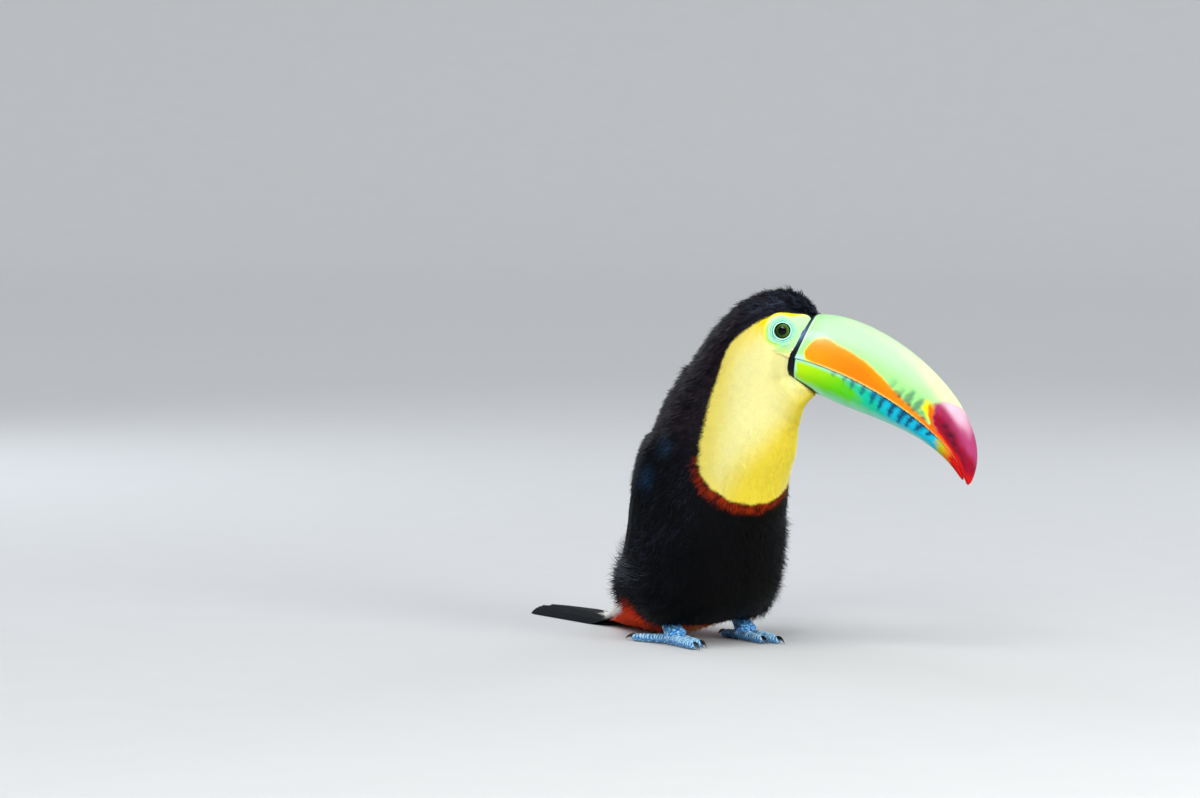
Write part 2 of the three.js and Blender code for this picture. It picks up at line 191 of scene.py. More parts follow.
@dataclass
class Patch:
    """Vertices in the bird's frame, with faces and what each vertex carries."""

    points: Array
    faces: list[Array]
    attributes: Masks = field(default_factory=dict)
    bake: Array | None = None
    normals: Array | None = None

    @staticmethod
    def join(patches: list["Patch"]) -> "Patch":
        """One patch of several. An attribute that a patch lacks is 0 there."""
        points = np.concatenate([p.points for p in patches])
        names = sorted({name for p in patches for name in p.attributes})
        offsets = np.cumsum([0] + [len(p.points) for p in patches])
        faces = [f + offset for p, offset in zip(patches, offsets) for f in p.faces]
        values = {n: [p.attributes.get(n, np.zeros(len(p.points))) for p in patches] for n in names}
        bakes = [p.bake for p in patches]
        bake = None if any(b is None for b in bakes) else np.concatenate(bakes)
        return Patch(points, faces, {n: np.concatenate(v) for n, v in values.items()}, bake)


def tube_grid(rows: int, columns: int, long: float = 1) -> tuple[Array, Array]:
    """The way along, from 0 to long, and the angle round of each vertex of a tube."""
    angles = np.linspace(0, TURN, columns, endpoint=False)
    return np.meshgrid(np.linspace(0, long, rows), angles, indexing="ij")


def grid_faces(rows: int, columns: int, wrap: bool = False) -> Array:
    """The quads of a grid of vertices, row by row.

    Args:
        rows: Rows of vertices.
        columns: Vertices in each.
        wrap: Whether the last column joins the first.

    Returns:
        Four vertex numbers for each quad.
    """
    r, c = np.meshgrid(np.arange(rows - 1), np.arange(columns if wrap else columns - 1), indexing="ij")
    after = (c + 1) % columns
    quads = [r * columns + c, r * columns + after, (r + 1) * columns + after, (r + 1) * columns + c]
    return np.stack([q.ravel() for q in quads], 1)


def sheet_patch(points: Array, wrap: bool = False, caps: bool = False, **attributes: Array) -> Patch:
    """A patch from a grid of points.

    Args:
        points: Rows by columns by 3.
        wrap: Whether the last column joins the first.
        caps: Whether each end row is closed by a fan to its mean.
        **attributes: One grid of values per name.

    Returns:
        The patch, with every attribute flattened.
    """
    rows, columns = points.shape[:2]
    flat = points.reshape(-1, 3)
    values = {n: np.broadcast_to(v, (rows, columns)).reshape(-1) for n, v in attributes.items()}
    faces = [grid_faces(rows, columns, wrap)]
    if caps:
        ring = np.arange(columns)
        for row, order in ((0, -1), (rows - 1, 1)):
            hub = len(flat)
            flat = np.concatenate([flat, points[row].mean(0, keepdims=True)])
            edge = slice(row * columns, (row + 1) * columns)
            values = {n: np.append(v, v[edge].mean()) for n, v in values.items()}
            a, b = row * columns + ring, row * columns + np.roll(ring, -1)
            faces.append(np.stack([a, b, np.full(columns, hub)][::order], 1))
    return Patch(flat, faces, values)


def facing(patch: Patch, outward: Array | None = None) -> Patch:
    """Turns every face round if most of them look inwards.

    Args:
        patch: The patch.
        outward: The way out at each vertex; without it, away from the patch's middle.

    Returns:
        The same patch.
    """
    outward = patch.points - patch.points.mean(0) if outward is None else outward
    f = patch.faces[0]
    a, b, c = (patch.points[f[:, k]] for k in range(3))
    if np.median((np.cross(b - a, c - a) * outward[f[:, 0]]).sum(1)) < 0:
        patch.faces = [g[:, ::-1] for g in patch.faces]
    return patch


def put_mesh(name: str, patch: Patch, finish: Material) -> bpy.types.Object:
    """Puts a patch into the scene.

    Args:
        name: The object's name.
        patch: Its mesh, in the bird's frame.
        finish: Its material.

    Returns:
        The object, at the origin, with its place in its mesh.
    """
    mesh = bpy.data.meshes.new(name)
    loops = np.concatenate([f.ravel() for f in patch.faces]).astype(np.int32)
    sizes = np.concatenate([np.full(len(f), f.shape[1], np.int32) for f in patch.faces])
    mesh.vertices.add(len(patch.points))
    mesh.vertices.foreach_set("co", ((patch.points + FEET) * MM).astype(np.float32).ravel())
    mesh.loops.add(len(loops))
    mesh.loops.foreach_set("vertex_index", loops)
    mesh.polygons.add(len(sizes))
    mesh.polygons.foreach_set("loop_start", (np.cumsum(sizes) - sizes).astype(np.int32))
    mesh.update(calc_edges=True)
    mesh.polygons.foreach_set("use_smooth", np.ones(len(sizes), bool))
    for key, value in patch.attributes.items():
        mesh.attributes.new(key, "FLOAT", "POINT").data.foreach_set("value", value.astype(np.float32))
    if patch.normals is not None:
        mesh.normals_split_custom_set_from_vertices(patch.normals.astype(np.float32))
    if patch.bake is not None:
        unwrap = mesh.uv_layers.new(name="OFBake").data
        unwrap.foreach_set("uv", patch.bake[loops].astype(np.float32).ravel())
    mesh.materials.append(finish)
    LOG.info("%s: %d triangles", name, int((sizes - 2).sum()))
    thing = bpy.data.objects.new(name, mesh)
    bpy.context.scene.collection.objects.link(thing)
    return thing


def make(name: str, patch: Patch, finish: Material, replaces: tuple[str, ...] = ()) -> None:
    """Makes a patch one finished piece that rides on the body.

    Args:
        name: The piece's name.
        patch: Its mesh, in the bird's frame.
        finish: Its material.
        replaces: The CAD nodes that it stands for.
    """
    piece = put_mesh(name, patch, finish)
    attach(piece, BODY)
    if replaces:
        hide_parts(*replaces)


# ---- the head's own frame ----


@dataclass(frozen=True)
class HeadFrame:
    """The level head's frame, from the gape corner on the midline: forward, up and aside to its left."""

    gape: Place = (31, -41, 172)
    turn: float = math.radians(47)
    bow: float = math.radians(20)

    def axes(self) -> tuple[Array, Array, Array]:
        """The forward, up and aside directions in the bird's frame."""
        ahead = np.array([math.sin(self.turn), -math.cos(self.turn), 0.0])
        aside = np.array([math.cos(self.turn), math.sin(self.turn), 0.0])
        cos, sin = math.cos(self.bow), math.sin(self.bow)
        return ahead * cos - UP * sin, ahead * sin + UP * cos, aside

    def point(self, forward: Array, up: Array, aside: Array = 0) -> Array:
        """The place in the bird's frame of a place in the head's frame."""
        forward, up, aside = np.broadcast_arrays(np.asarray(forward, float), up, aside)
        f, u, a = self.axes()
        return np.array(self.gape) + forward[..., None] * f + up[..., None] * u + aside[..., None] * a

    def local(self, points: Array) -> tuple[Array, Array, Array]:
        """How far forward, up and aside each place is."""
        from_gape = points - np.array(self.gape)
        f, u, a = self.axes()
        return from_gape @ f, from_gape @ u, from_gape @ a


HEAD = HeadFrame()


# ---- surfaces that feathers lie on ----


@dataclass
class Ground:
    """A surface of two parameters, read from a table: first runs as the feathers lie, second runs across."""

    points: Array
    normals: Array
    first: Pair
    second: Pair

    # The steps of the R2 sequence: one over the plastic number, and over its square.
    R2_STEPS = (0.7548776662466927, 0.5698402909980532)
    LEAST = 1e-12  # keeps a division by an empty row or cell finite

    @staticmethod
    def of(shape: Spread, first: Pair, second: Pair, rows: int, columns: int,
           inside: Array | None = None) -> "Ground":
        """The table of a shape.

        Args:
            shape: Gives a place for the two parameters.
            first: The first parameter's range.
            second: The second parameter's range.
            rows: Steps along the first.
            columns: Steps along the second.
            inside: A place that every normal points away from. Without it the cross product's own way is
            kept.

        Returns:
            The surface, with its normals from the cross product of its two tangents.
        """
        points = shape(*np.meshgrid(np.linspace(*first, rows), np.linspace(*second, columns), indexing="ij"))
        normals = unit(np.cross(np.gradient(points, axis=1), np.gradient(points, axis=0)))
        if inside is not None:
            normals *= np.sign(((points - inside) * normals).sum(-1).mean())
        return Ground(points, normals, first, second)

    @property
    def span(self) -> Array:
        """The length of each parameter's range."""
        return np.ptp([self.first, self.second], axis=1)

    @property
    def cells(self) -> Array:
        """The number of the table's cells each way."""
        return np.array(self.points.shape[:2]) - 1

    def share(self, s: Array, a: Array) -> Array:
        """How far along its range each parameter is, the two stacked."""
        return (np.stack([s, a], -1) - np.array([self.first[0], self.second[0]])) / self.span

    def _cell(self, s: Array, a: Array) -> tuple[Array, Array, Array, Array]:
        """The table's cell, and the place in it, for each pair of parameters."""
        at = np.clip(self.share(s, a) * self.cells, 0, self.cells - 0.001)
        i, j = np.moveaxis(at.astype(int), -1, 0)
        return i, j, at[..., :1] - i[..., None], at[..., 1:] - j[..., None]

    def read(self, s: Array, a: Array) -> tuple[Array, Array]:
        """The places and normals at some parameters, straight between the table's entries."""
        i, j, x, y = self._cell(s, a)
        weights = ((0, 0, (1 - x) * (1 - y)), (1, 0, x * (1 - y)), (0, 1, (1 - x) * y), (1, 1, x * y))
        points, normals = (sum(table[i + p, j + q] * w for p, q, w in weights)
                           for table in (self.points, self.normals))
        return points, unit(normals)

    def reach(self, s: Array, a: Array) -> list[Array]:
        """Millimetres for one unit of each parameter, and never less than half a millimetre."""
        i, j, _, _ = self._cell(s, a)
        beside = (self.points[i + 1, j], self.points[i, j + 1])
        runs = [np.linalg.norm(p - self.points[i, j], axis=-1) for p in beside]
        return [np.maximum(run * cells / span, 0.5) for run, cells, span in zip(runs, self.cells, self.span)]

    def scatter(self, density: Spread) -> tuple[Array, Array]:
        """Even, never regular places, as many to the square millimetre as density says.

        The places are those of the golden-ratio (R2) sequence, carried onto the surface by the running sums
        of density times area, first over the rows and then along each row.

        Args:
            density: Places per square millimetre at each pair of parameters.

        Returns:
            The two parameters of each place.
        """
        rows, columns = self.cells
        step = self.span / self.cells
        middles = [np.linspace(*ends, n + 1)[:-1] + size / 2
                   for ends, n, size in zip((self.first, self.second), self.cells, step)]
        corner = self.points[:-1, :-1]
        area = np.linalg.norm(np.cross(self.points[1:, :-1] - corner, self.points[:-1, 1:] - corner), axis=-1)
        weight = np.maximum(density(*np.meshgrid(*middles, indexing="ij")), 0) * area
        row_sums = weight.sum(1)
        by_row = np.concatenate([[0], np.cumsum(row_sums)]) / row_sums.sum()
        k = np.arange(int(weight.sum()))
        q1, q2 = ((0.5 + turn * k) % 1 for turn in self.R2_STEPS)
        row = np.clip(np.searchsorted(by_row, q1, side="right") - 1, 0, rows - 1)
        in_row = (q1 - by_row[row]) / np.maximum(by_row[row + 1] - by_row[row], self.LEAST)
        sums = np.cumsum(weight, 1) / np.maximum(row_sums, self.LEAST)[:, None]
        ordered = (sums + np.arange(rows)[:, None]).ravel()
        cell = np.clip(np.searchsorted(ordered, row + q2) - row * columns, 0, columns - 1)
        before = np.where(cell > 0, sums[row, cell - 1], 0)
        in_cell = np.clip((q2 - before) / np.maximum(sums[row, cell] - before, self.LEAST), 0, 1)
        return self.first[0] + (row + in_row) * step[0], self.second[0] + (cell + in_cell) * step[1]


@dataclass(frozen=True)
class Section:
    """One outline of the body, in a plane of its own.

    turn is its heading and tilt how far its belly side points below the horizontal, in degrees. half is its
    half width and back and belly its two depths, in millimetres.
    """

    at: Place
    turn: float
    tilt: float
    half: float
    back: float
    belly: float


@dataclass(frozen=True)
class HeadSection:
    """One outline of the head, by its back and belly points as (forward, up) in the level head."""

    back: Pair
    belly: Pair
    half: float
    middle: float

    def as_section(self) -> Section:
        """The same outline as a body section, its centre at middle of the way from back to belly."""
        span = np.subtract(self.belly, self.back)
        depth = float(np.hypot(*span))
        centre = tuple(HEAD.point(*(np.array(self.back) + span * self.middle)))
        tilt = math.degrees(math.atan2(-span[1], span[0]) + HEAD.bow)
        back, belly = depth * self.middle, depth * (1 - self.middle)
        return Section(centre, math.degrees(HEAD.turn), tilt, self.half, back, belly)


@dataclass(frozen=True)
class BodyForm:
    """The body as one surface: a section number from bill to tail, an angle from spine (0) to belly (pi)."""

    roundness: float = 2.15
    head: tuple[HeadSection, ...] = (
        HeadSection((2.5, 28), (21, -16), 12.5, 0.5),  # bill base
        HeadSection((-6, 34.2), (18.5, -20.5), 16.2, 0.47),  # forehead
        HeadSection((-17.5, 35.6), (16.8, -24.5), 19.8, 0.44),  # eyes
        HeadSection((-28.5, 30), (16, -28.5), 22.9, 0.44),  # crown
        HeadSection((-38.5, 20.5), (16.2, -33), 25.6, 0.45),  # occiput
        HeadSection((-47, 5), (17, -38), 28.4, 0.46),  # nape
    )
    trunk: tuple[Section, ...] = (
        Section((11.5, -23.5, 149.5), 40, 37, 30.5, 38, 36),  # upper neck
        Section((7, -18.5, 137.5), 30, 27, 33.5, 40.5, 39),  # lower neck
        Section((4, -12, 124), 17, 20, 38.5, 42, 42.5),  # mantle
        Section((1.5, -6.5, 108), 7, 19, 41.5, 42, 42.5),  # shoulders
        Section((0, -0.5, 89), 0, 21, 43.5, 41.5, 44.5),  # chest
        Section((0, 5, 68), 0, 25, 44, 41.5, 46),  # belly
        Section((0, 12.5, 47.5), 0, 33, 44, 40, 46),  # loins
        Section((0, 26.5, 35), 0, 47, 41.5, 35, 33.5),  # rump
        Section((0, 45, 28), 0, 60, 35, 24, 25.5),  # vent
        Section((0, 62, 20), 0, 72, 26, 12.5, 16.5),  # tail base
        Section((0, 82, 12.2), 0, 76, 19.5, 5.5, 10),  # tail coverts
        Section((0, 100, 6.2), 0, 80, 14.5, 1.8, 2),  # coverts end
        Section((0, 117, 3.6), 0, 82, 12.5, 1, 1),  # coverts fringe: only feather tips reach here
    )

    def rows(self) -> Array:
        """Every section as centre, turn, tilt, half, back and belly."""
        every = [h.as_section() for h in self.head] + list(self.trunk)
        return np.array([[*s.at, s.turn, s.tilt, s.half, s.back, s.belly] for s in every])

    @property
    def last(self) -> float:
        """The number of the skin's last section, the one before the fringe."""
        return float(len(self.head) + len(self.trunk) - 2)

    def place(self, at: Array, angle: Array, grow: Array = 0) -> Array:
        """A place on the surface.

        Each section is a superellipse: aside by half times sin(angle)^p, and towards the back by back, or
        towards the belly by belly, times cos(angle)^p, with p = 2 / roundness and the signs kept.

        Args:
            at: Section number, whole or not.
            angle: From the spine, positive on the bird's left.
            grow: Added to every radius.

        Returns:
            The places in the bird's frame.
        """
        at, angle, grow = np.broadcast_arrays(np.asarray(at, float), angle, grow)
        row = through(self.rows(), at)
        turn, tilt = np.radians(row[..., 3]), np.radians(row[..., 4])
        zero = np.zeros_like(turn)
        aside = np.stack([np.cos(turn), np.sin(turn), zero], -1)
        down = np.stack([np.sin(turn) * np.cos(tilt), -np.cos(turn) * np.cos(tilt), -np.sin(tilt)], -1)
        power = 2 / self.roundness
        depth = np.where(np.cos(angle) > 0, row[..., 6], row[..., 7]) + grow
        wide = (row[..., 5] + grow) * signed_power(np.sin(angle), power)
        deep = depth * signed_power(np.cos(angle), power)
        return row[..., :3] + aside * wide[..., None] - down * deep[..., None]


FORM = BodyForm()


def coat_depth(at: Array, angle: Array) -> Array:
    """How deep the feathers lie on the skin, in millimetres: thin on the face, thick on crown and trunk."""
    plain = np.interp(at, [0, 2, 5, 9, 13, 17, 18], [0.7, 0.9, 1.8, 3, 3.4, 1, 0.2])
    crown = ramp(MARKS.edge(at) + 0.05, MARKS.edge(at) - 0.25, MARKS.turn(angle))
    crown = crown * np.interp(at, [0, 5, 7], [3.3, 1.6, 0])
    return plain + crown


# ---- markings ----


@dataclass(frozen=True)
class Markings:
    """Where each colour of the plumage lies, by section number and angle, for skin and feathers alike."""

    # Degrees from the spine at which black turns to yellow, for each section from the bill's base to the
    # chest.
    bib_edge: tuple[float, ...] = (24, 44, 52.8, 54.4, 54.5, 53, 63.8, 79, 96.6, 119.3, 190, 300)
    foot_round: float = 0.6  # radians over which the bib's foot is rounded
    band: float = 0.23  # the red band's depth, in sections
    band_from: float = 8.35  # the section where it starts, at the bib's sides
    vent_from: float = 13.25
    rump_from: float = 14.3

    def edge(self, at: Array) -> Array:
        """The bib's edge at each section, in radians from the spine."""
        return np.radians(through(np.array(self.bib_edge), np.clip(at, 0, len(self.bib_edge) - 1)))

    def turn(self, angle: Array) -> Array:
        """How far round from the spine, rounded off at the belly so that the bib's foot is no point.

        It is pi - (x^2 + foot_round^2)^0.5, x being the angle from the belly.
        """
        return math.pi - np.hypot(math.pi - np.abs(angle), self.foot_round)

    @staticmethod
    def wander(at: Array, angle: Array) -> Array:
        """A slow wave of about -1 to 1 that breaks up the band and the bib's foot."""
        return waves(angle * 28, at * 12, 7, 17) * ramp(7, 8.6, at)

    def yellow(self, at: Array, angle: Array, ragged: Array = 0) -> Array:
        """1 on the yellow face and bib. ragged moves the edge, in millimetres."""
        reach = 0.03  # radians for a millimetre on the neck
        shift = (ragged + 0.5 * self.wander(at, angle)) * reach
        return ramp(-0.02, 0.02, self.turn(angle) - self.edge(at) + shift)

    def red(self, at: Array, angle: Array, ragged: Array = 0) -> Array:
        """1 on the band under the bib."""
        deep = self.band * ramp(self.band_from - 0.25, self.band_from + 1.2, at)
        deep = deep * (1 + 0.14 * self.wander(at, -angle))
        under_bib = self.turn(angle) - self.edge(at - deep) + ragged * 0.085
        band = ramp(-0.08, 0.04, under_bib) * (at > self.band_from) * (at < 11)
        return band * (1 - self.yellow(at, angle, ragged)) * np.clip(1.15 + 0.9 * np.minimum(ragged, 0), 0, 1)

    def rich(self, at: Array, angle: Array) -> Array:
        """1 where the yellow is deep, at the bib's rim, chin and foot, and 0 on the pale cheek and breast."""
        from_rim = self.turn(angle) - self.edge(at)
        behind_eye = ramp(0.5, 1.5, at) * ramp(4.2, 2.8, at)
        rim = ramp(0.5, 0, from_rim) * 0.6 + ramp(0.4, 0.1, from_rim) * 0.6 * behind_eye
        middle = ramp(2.1, 2.9, np.abs(angle)) * 0.85
        foot = ramp(8.6, 9.6, at) * 0.45
        return np.clip(np.maximum(np.maximum(rim, middle), foot), 0, 1)

    def masks(self, at: Array, angle: Array, ragged: Array = 0) -> Masks:
        """Every mask, by the name of the attribute that carries it.

        Args:
            at: Section number.
            angle: From the spine, in radians.
            ragged: How far the edges move, in millimetres.

        Returns:
            yellow, with pale where it is not rich; red, with ember next to the yellow; scarlet under the
            tail and white over it; dusk, the brown cast of the nape's tufts, and steel, a grey
            sheen painted on some tufts of the crown and flanks.
        """
        yellow, red = self.yellow(at, angle, ragged), self.red(at, angle, ragged)
        under = ramp(1.7, 1.95, np.abs(angle))
        return {
            "yellow": yellow,
            # The pale yellow is partly the feathers' own paler yellow and partly a painted highlight.
            "pale": yellow * (1 - self.rich(at, angle)),
            "red": red,
            "ember": red * ramp(0.75, 0.05, self.edge(at) - self.turn(angle))
            * np.clip(0.35 + 1.2 * ragged + 0.4 * self.wander(at * 1.7, angle * 1.7), 0, 1),
            "scarlet": ramp(-0.1, 0.1, at - self.vent_from + ragged * 0.06) * under,
            "white": ramp(-0.1, 0.1, at - self.rump_from + ragged * 0.06) * (1 - under),
            "dusk": ramp(1, 4, at) * ramp(9, 7.5, at) * np.clip(0.45 - 0.9 * ragged, 0, 1),
            # A grey sheen painted on some tufts of the crown and of the flanks.
            "steel": ramp(4.5, 2, at) * np.clip(0.15 + 0.9 * ragged, 0, 1)
            + ramp(8.3, 9.3, at) * ramp(2.6, 1.7, np.abs(angle)) * np.clip(0.9 * ragged - 0.1, 0, 0.55),
        }

    @staticmethod
    def gloss(points: Array) -> Array:
        """1 on the two patches of painted blue sheen at each shoulder, whatever feathers lie there."""
        total = np.zeros(len(points))
        for at, angle, size in ((8.5, 80, 6), (9.6, 80, 7)):
            for side in Side:
                away = points - FORM.place(at, math.radians(angle) * side.value)
                total = np.maximum(total, bump(np.linalg.norm(away, axis=-1), 0, size))
        return total


MARKS = Markings()


# ---- finishes ----


def linear(code: str) -> tuple[float, float, float, float]:
    """The linear RGBA of an sRGB hex colour such as "#1a2b3c"."""
    parts = [int(code[i : i + 2], 16) / 255 for i in (1, 3, 5)]
    return (*[c / 12.92 if c <= 0.04045 else ((c + 0.055) / 1.055) ** 2.4 for c in parts], 1)


def add(tree: Tree, kind: str, links: dict | None = None, **settings: object) -> Node:
    """Adds a node with its settings, values and links.

    Args:
        tree: The node tree.
        kind: The node's type name without "ShaderNode".
        links: Socket name or number to a value, or to a (node, output name or number) pair.
        **settings: Properties of the node itself.

    Returns:
        The node.
    """
    node = tree.nodes.new("ShaderNode" + kind)
    for key, value in settings.items():
        setattr(node, key, value)
    for key, value in (links or {}).items():
        if isinstance(value, tuple) and isinstance(value[0], Node):
            tree.links.new(value[0].outputs[value[1]], node.inputs[key])
        else:
            node.inputs[key].default_value = value
    return node


@dataclass(frozen=True)
class Finish:
    """A surface of coloured layers: each layer's colour shows where its attribute is 1.

    grain is a fine mottle of the colour, its size in millimetres and its strength, and relief is a bump, its
    size in millimetres and its height in millimetres. tone and along are attributes that darken or lighten
    by tuft and from root to tip. cells are small raised scales, their size in millimetres, height in
    millimetres and crest's colour.
    """

    name: str
    base: str
    layers: tuple[tuple[str, str], ...] = ()
    roughness: float = 0.5
    specular: float = 0.5
    coat: float = 0
    coat_roughness: float = 0.05
    sheen: float = 0
    sheen_tint: str = "#ffffff"
    subsurface: float = 0
    grain: Pair = (1, 0.1)
    relief: Pair = (1, 0)
    tone: float = 0
    root_dark: float = 0
    barbs: float = 0
    cells: tuple[float, float, str] | None = None

    def material(self) -> Material:
        """Builds the material: layers over the base, then mottle, tone and root shade, with the bump beside.

        Returns:
            The material.
        """
        material = bpy.data.materials.new(self.name)
        material.use_nodes = True
        tree = material.node_tree
        shader = tree.nodes["Principled BSDF"]
        place = add(tree, "TexCoord")
        colour = add(tree, "RGB")
        colour.outputs[0].default_value = linear(self.base)
        last = (colour, 0)
        for name, code in self.layers:
            mask = add(tree, "Attribute", attribute_name=name)
            last = (add(tree, "Mix", {0: (mask, "Fac"), 6: last, 7: linear(code)}, data_type="RGBA"), 2)
        scales = None
        if self.cells:
            step, _, crest = self.cells
            links = {"Vector": (place, "Object"), "Scale": 1 / (step * MM), "Randomness": 0.8}
            scales = add(tree, "TexVoronoi", links, feature="DISTANCE_TO_EDGE")
            raised = add(tree, "MapRange", {0: (scales, 0), 1: 0.12, 2: 0.32, 3: 0, 4: 0.75})
            last = (add(tree, "Mix", {0: (raised, 0), 6: last, 7: linear(crest)}, data_type="RGBA"), 2)
        size, strength = self.grain
        mottle = add(tree, "TexNoise", {"Vector": (place, "Object"), "Scale": 1 / (size * MM), "Detail": 3})
        level = add(tree, "MapRange", {0: (mottle, 0), 1: 0.25, 2: 0.75, 3: 1 - strength, 4: 1 + strength})
        value = (level, 0)
        if self.tone:
            tuft = add(tree, "Attribute", attribute_name="tone")
            by_tuft = add(tree, "MapRange", {0: (tuft, "Fac"), 3: 1 - self.tone, 4: 1 + self.tone})
            value = (add(tree, "Math", {0: value, 1: (by_tuft, 0)}, operation="MULTIPLY"), 0)
        if self.root_dark:
            along = add(tree, "Attribute", attribute_name="along")
            shade = add(tree, "MapRange", {0: (along, "Fac"), 1: 0, 2: 0.6, 3: 1 - self.root_dark, 4: 1})
            value = (add(tree, "Math", {0: value, 1: (shade, 0)}, operation="MULTIPLY"), 0)
        shaded = add(tree, "HueSaturation", {"Value": value, "Color": last})
        tree.links.new(shaded.outputs[0], shader.inputs["Base Color"])
        for socket, setting in self._settings().items():
            shader.inputs[socket].default_value = setting
        self._bump(tree, shader, place, scales)
        return material

    def _settings(self) -> dict[str, object]:
        """What the shader's own sockets say, all over the surface."""
        settings = {
            "Roughness": self.roughness, "Specular IOR Level": self.specular,
            "Coat Weight": self.coat, "Coat Roughness": self.coat_roughness,
            "Sheen Weight": self.sheen, "Sheen Tint": linear(self.sheen_tint), "Sheen Roughness": 0.4,
        }
        if self.subsurface:
            settings |= {"Subsurface Weight": self.subsurface, "Subsurface Radius": (0.0015, 0.001, 0.0006),
                         "Subsurface Scale": 1}
        return settings

    def _bump(self, tree: Tree, shader: Node, place: Node, scales: Node | None) -> None:
        """Links a chain of bumps to the shader's normal.

        They are the scales, the relief, and a vane's barbs, which slant away from the shaft.

        Args:
            tree: The node tree.
            shader: Its shader.
            place: The node of Object coordinates.
            scales: The node of the scales' pattern, if there are any.
        """
        bumps = []
        if scales:
            raised = add(tree, "MapRange", {0: (scales, 0), 1: 0, 2: 0.3, 3: 0, 4: 1})
            bumps.append((raised, self.cells[1]))
        size, height = self.relief
        if height:
            links = {"Vector": (place, "Object"), "Scale": 1 / (size * MM), "Detail": 4}
            bumps.append((add(tree, "TexNoise", links), height))
        if self.barbs:
            slant = add(tree, "Attribute", attribute_name="barb")
            bumps.append((add(tree, "Math", {0: (slant, "Fac")}, operation="SINE"), self.barbs))
        before = {}
        for source, high in bumps:
            normal = add(tree, "Bump", {"Height": (source, 0), "Distance": high * MM} | before)
            before = {"Normal": (normal, 0)}
        if before:
            tree.links.new(normal.outputs[0], shader.inputs["Normal"])


# The grey-blues among these are painted sheen: on some tufts, on the loose barbs and at the shoulders.
PLUMAGE = (
    ("dusk", "#2b2028"), ("steel", "#333b50"), ("yellow", "#ffe60a"), ("pale", "#fff9ac"),
    ("red", "#480a02"), ("ember", "#b83608"), ("scarlet", "#e0380c"), ("white", "#efebe8"),
    ("blue", "#173450"), ("silver", "#565e68"),
)


class Finishes:
    """Every finish of the bird, made once."""

    def __init__(self) -> None:
        """Builds the materials."""
        # Soft down over skin: matt, so that it only fills the gaps between the feathers.
        self.skin = Finish("downy_skin", "#050506", PLUMAGE[2:8], roughness=0.9, specular=0.05,
                           grain=(1.5, 0.08), relief=(0.8, 0.1)).material()
        # Loose black contour feathers: fine barbs catch a cool, faint light along their edges.
        self.contour = Finish("contour_feather", "#040405", PLUMAGE, roughness=0.5, specular=0.09,
                              sheen=0.008, sheen_tint="#93a5d8", grain=(4, 0.2), tone=0.6,
                              root_dark=0.35).material()
        # Silky yellow breast feathers: they lie close, pass light on to each other and show no gloss.
        self.soft = Finish("silky_breast_feather", "#060607", PLUMAGE, roughness=0.75, specular=0.1,
                           sheen=0.1, sheen_tint="#fff6b0", subsurface=0.25, grain=(5, 0.03),
                           tone=0.06).material()
        # Stiff vanes with locked barbs: their lie is close and even, with a faint blue sheen and little
        # gloss. A grey-blue highlight is painted along their edges, and a blue sheen at the shoulders.
        self.vane = Finish("flight_feather_vane", "#06080c", (("fringe", "#1c242f"), ("blue", "#173450")),
                           roughness=0.5, specular=0.03, sheen=0.006, sheen_tint="#6f8fc0",
                           grain=(6, 0.15), tone=0.3, barbs=0.05).material()
        # Polished horn in thin layers over a pale core: saturated, faintly deep, with a wet gloss.
        horn = {"roughness": 0.34, "specular": 0.1, "coat": 0.06, "coat_roughness": 0.12, "subsurface": 0.06,
                "grain": (9, 0.03), "relief": (2.5, 0.05)}
        self.upper_bill = Finish("polished_bill_horn_upper", "#9be088", UpperBill.LAYERS, **horn).material()
        self.lower_bill = Finish("polished_bill_horn_lower", "#52c006", LowerBill.LAYERS, **horn).material()
        # Bare waxy skin round the eye, finely creased.
        self.orbit = Finish("bare_orbital_skin", "#b8de86", Orbit.LAYERS, roughness=0.5, specular=0.25,
                            subsurface=0.12, grain=(1.2, 0.05), relief=(0.6, 0.06)).material()
        # Wet cornea over the iris: a mirror-bright clear coat.
        self.eye = Finish("wet_eye", "#0a1206", EyeBall.LAYERS, roughness=0.2, specular=0.02, coat=0.28,
                          coat_roughness=0.02, grain=(0.35, 0.25)).material()
        # Horny scutes on blue skin: light plates with darker seams.
        self.foot = Finish("scuted_foot_skin", "#1a62b8", FootForm.LAYERS, roughness=0.45, specular=0.3,
                           coat=0.1, coat_roughness=0.3, grain=(1.6, 0.2),
                           cells=(2.1, 0.45, "#9bdcf8")).material()
        # Hard dark horn, polished by use.
        self.claw = Finish("claw_horn", "#0b0d12", (("worn", "#574c48"),), roughness=0.22, specular=0.5,
                           coat=0.5, coat_roughness=0.1, grain=(1.5, 0.2), relief=(0.8, 0.03)).material()


# ---- feathers ----


BAKE_PATCH = 0.003  # how wide a tuft is on the bake map


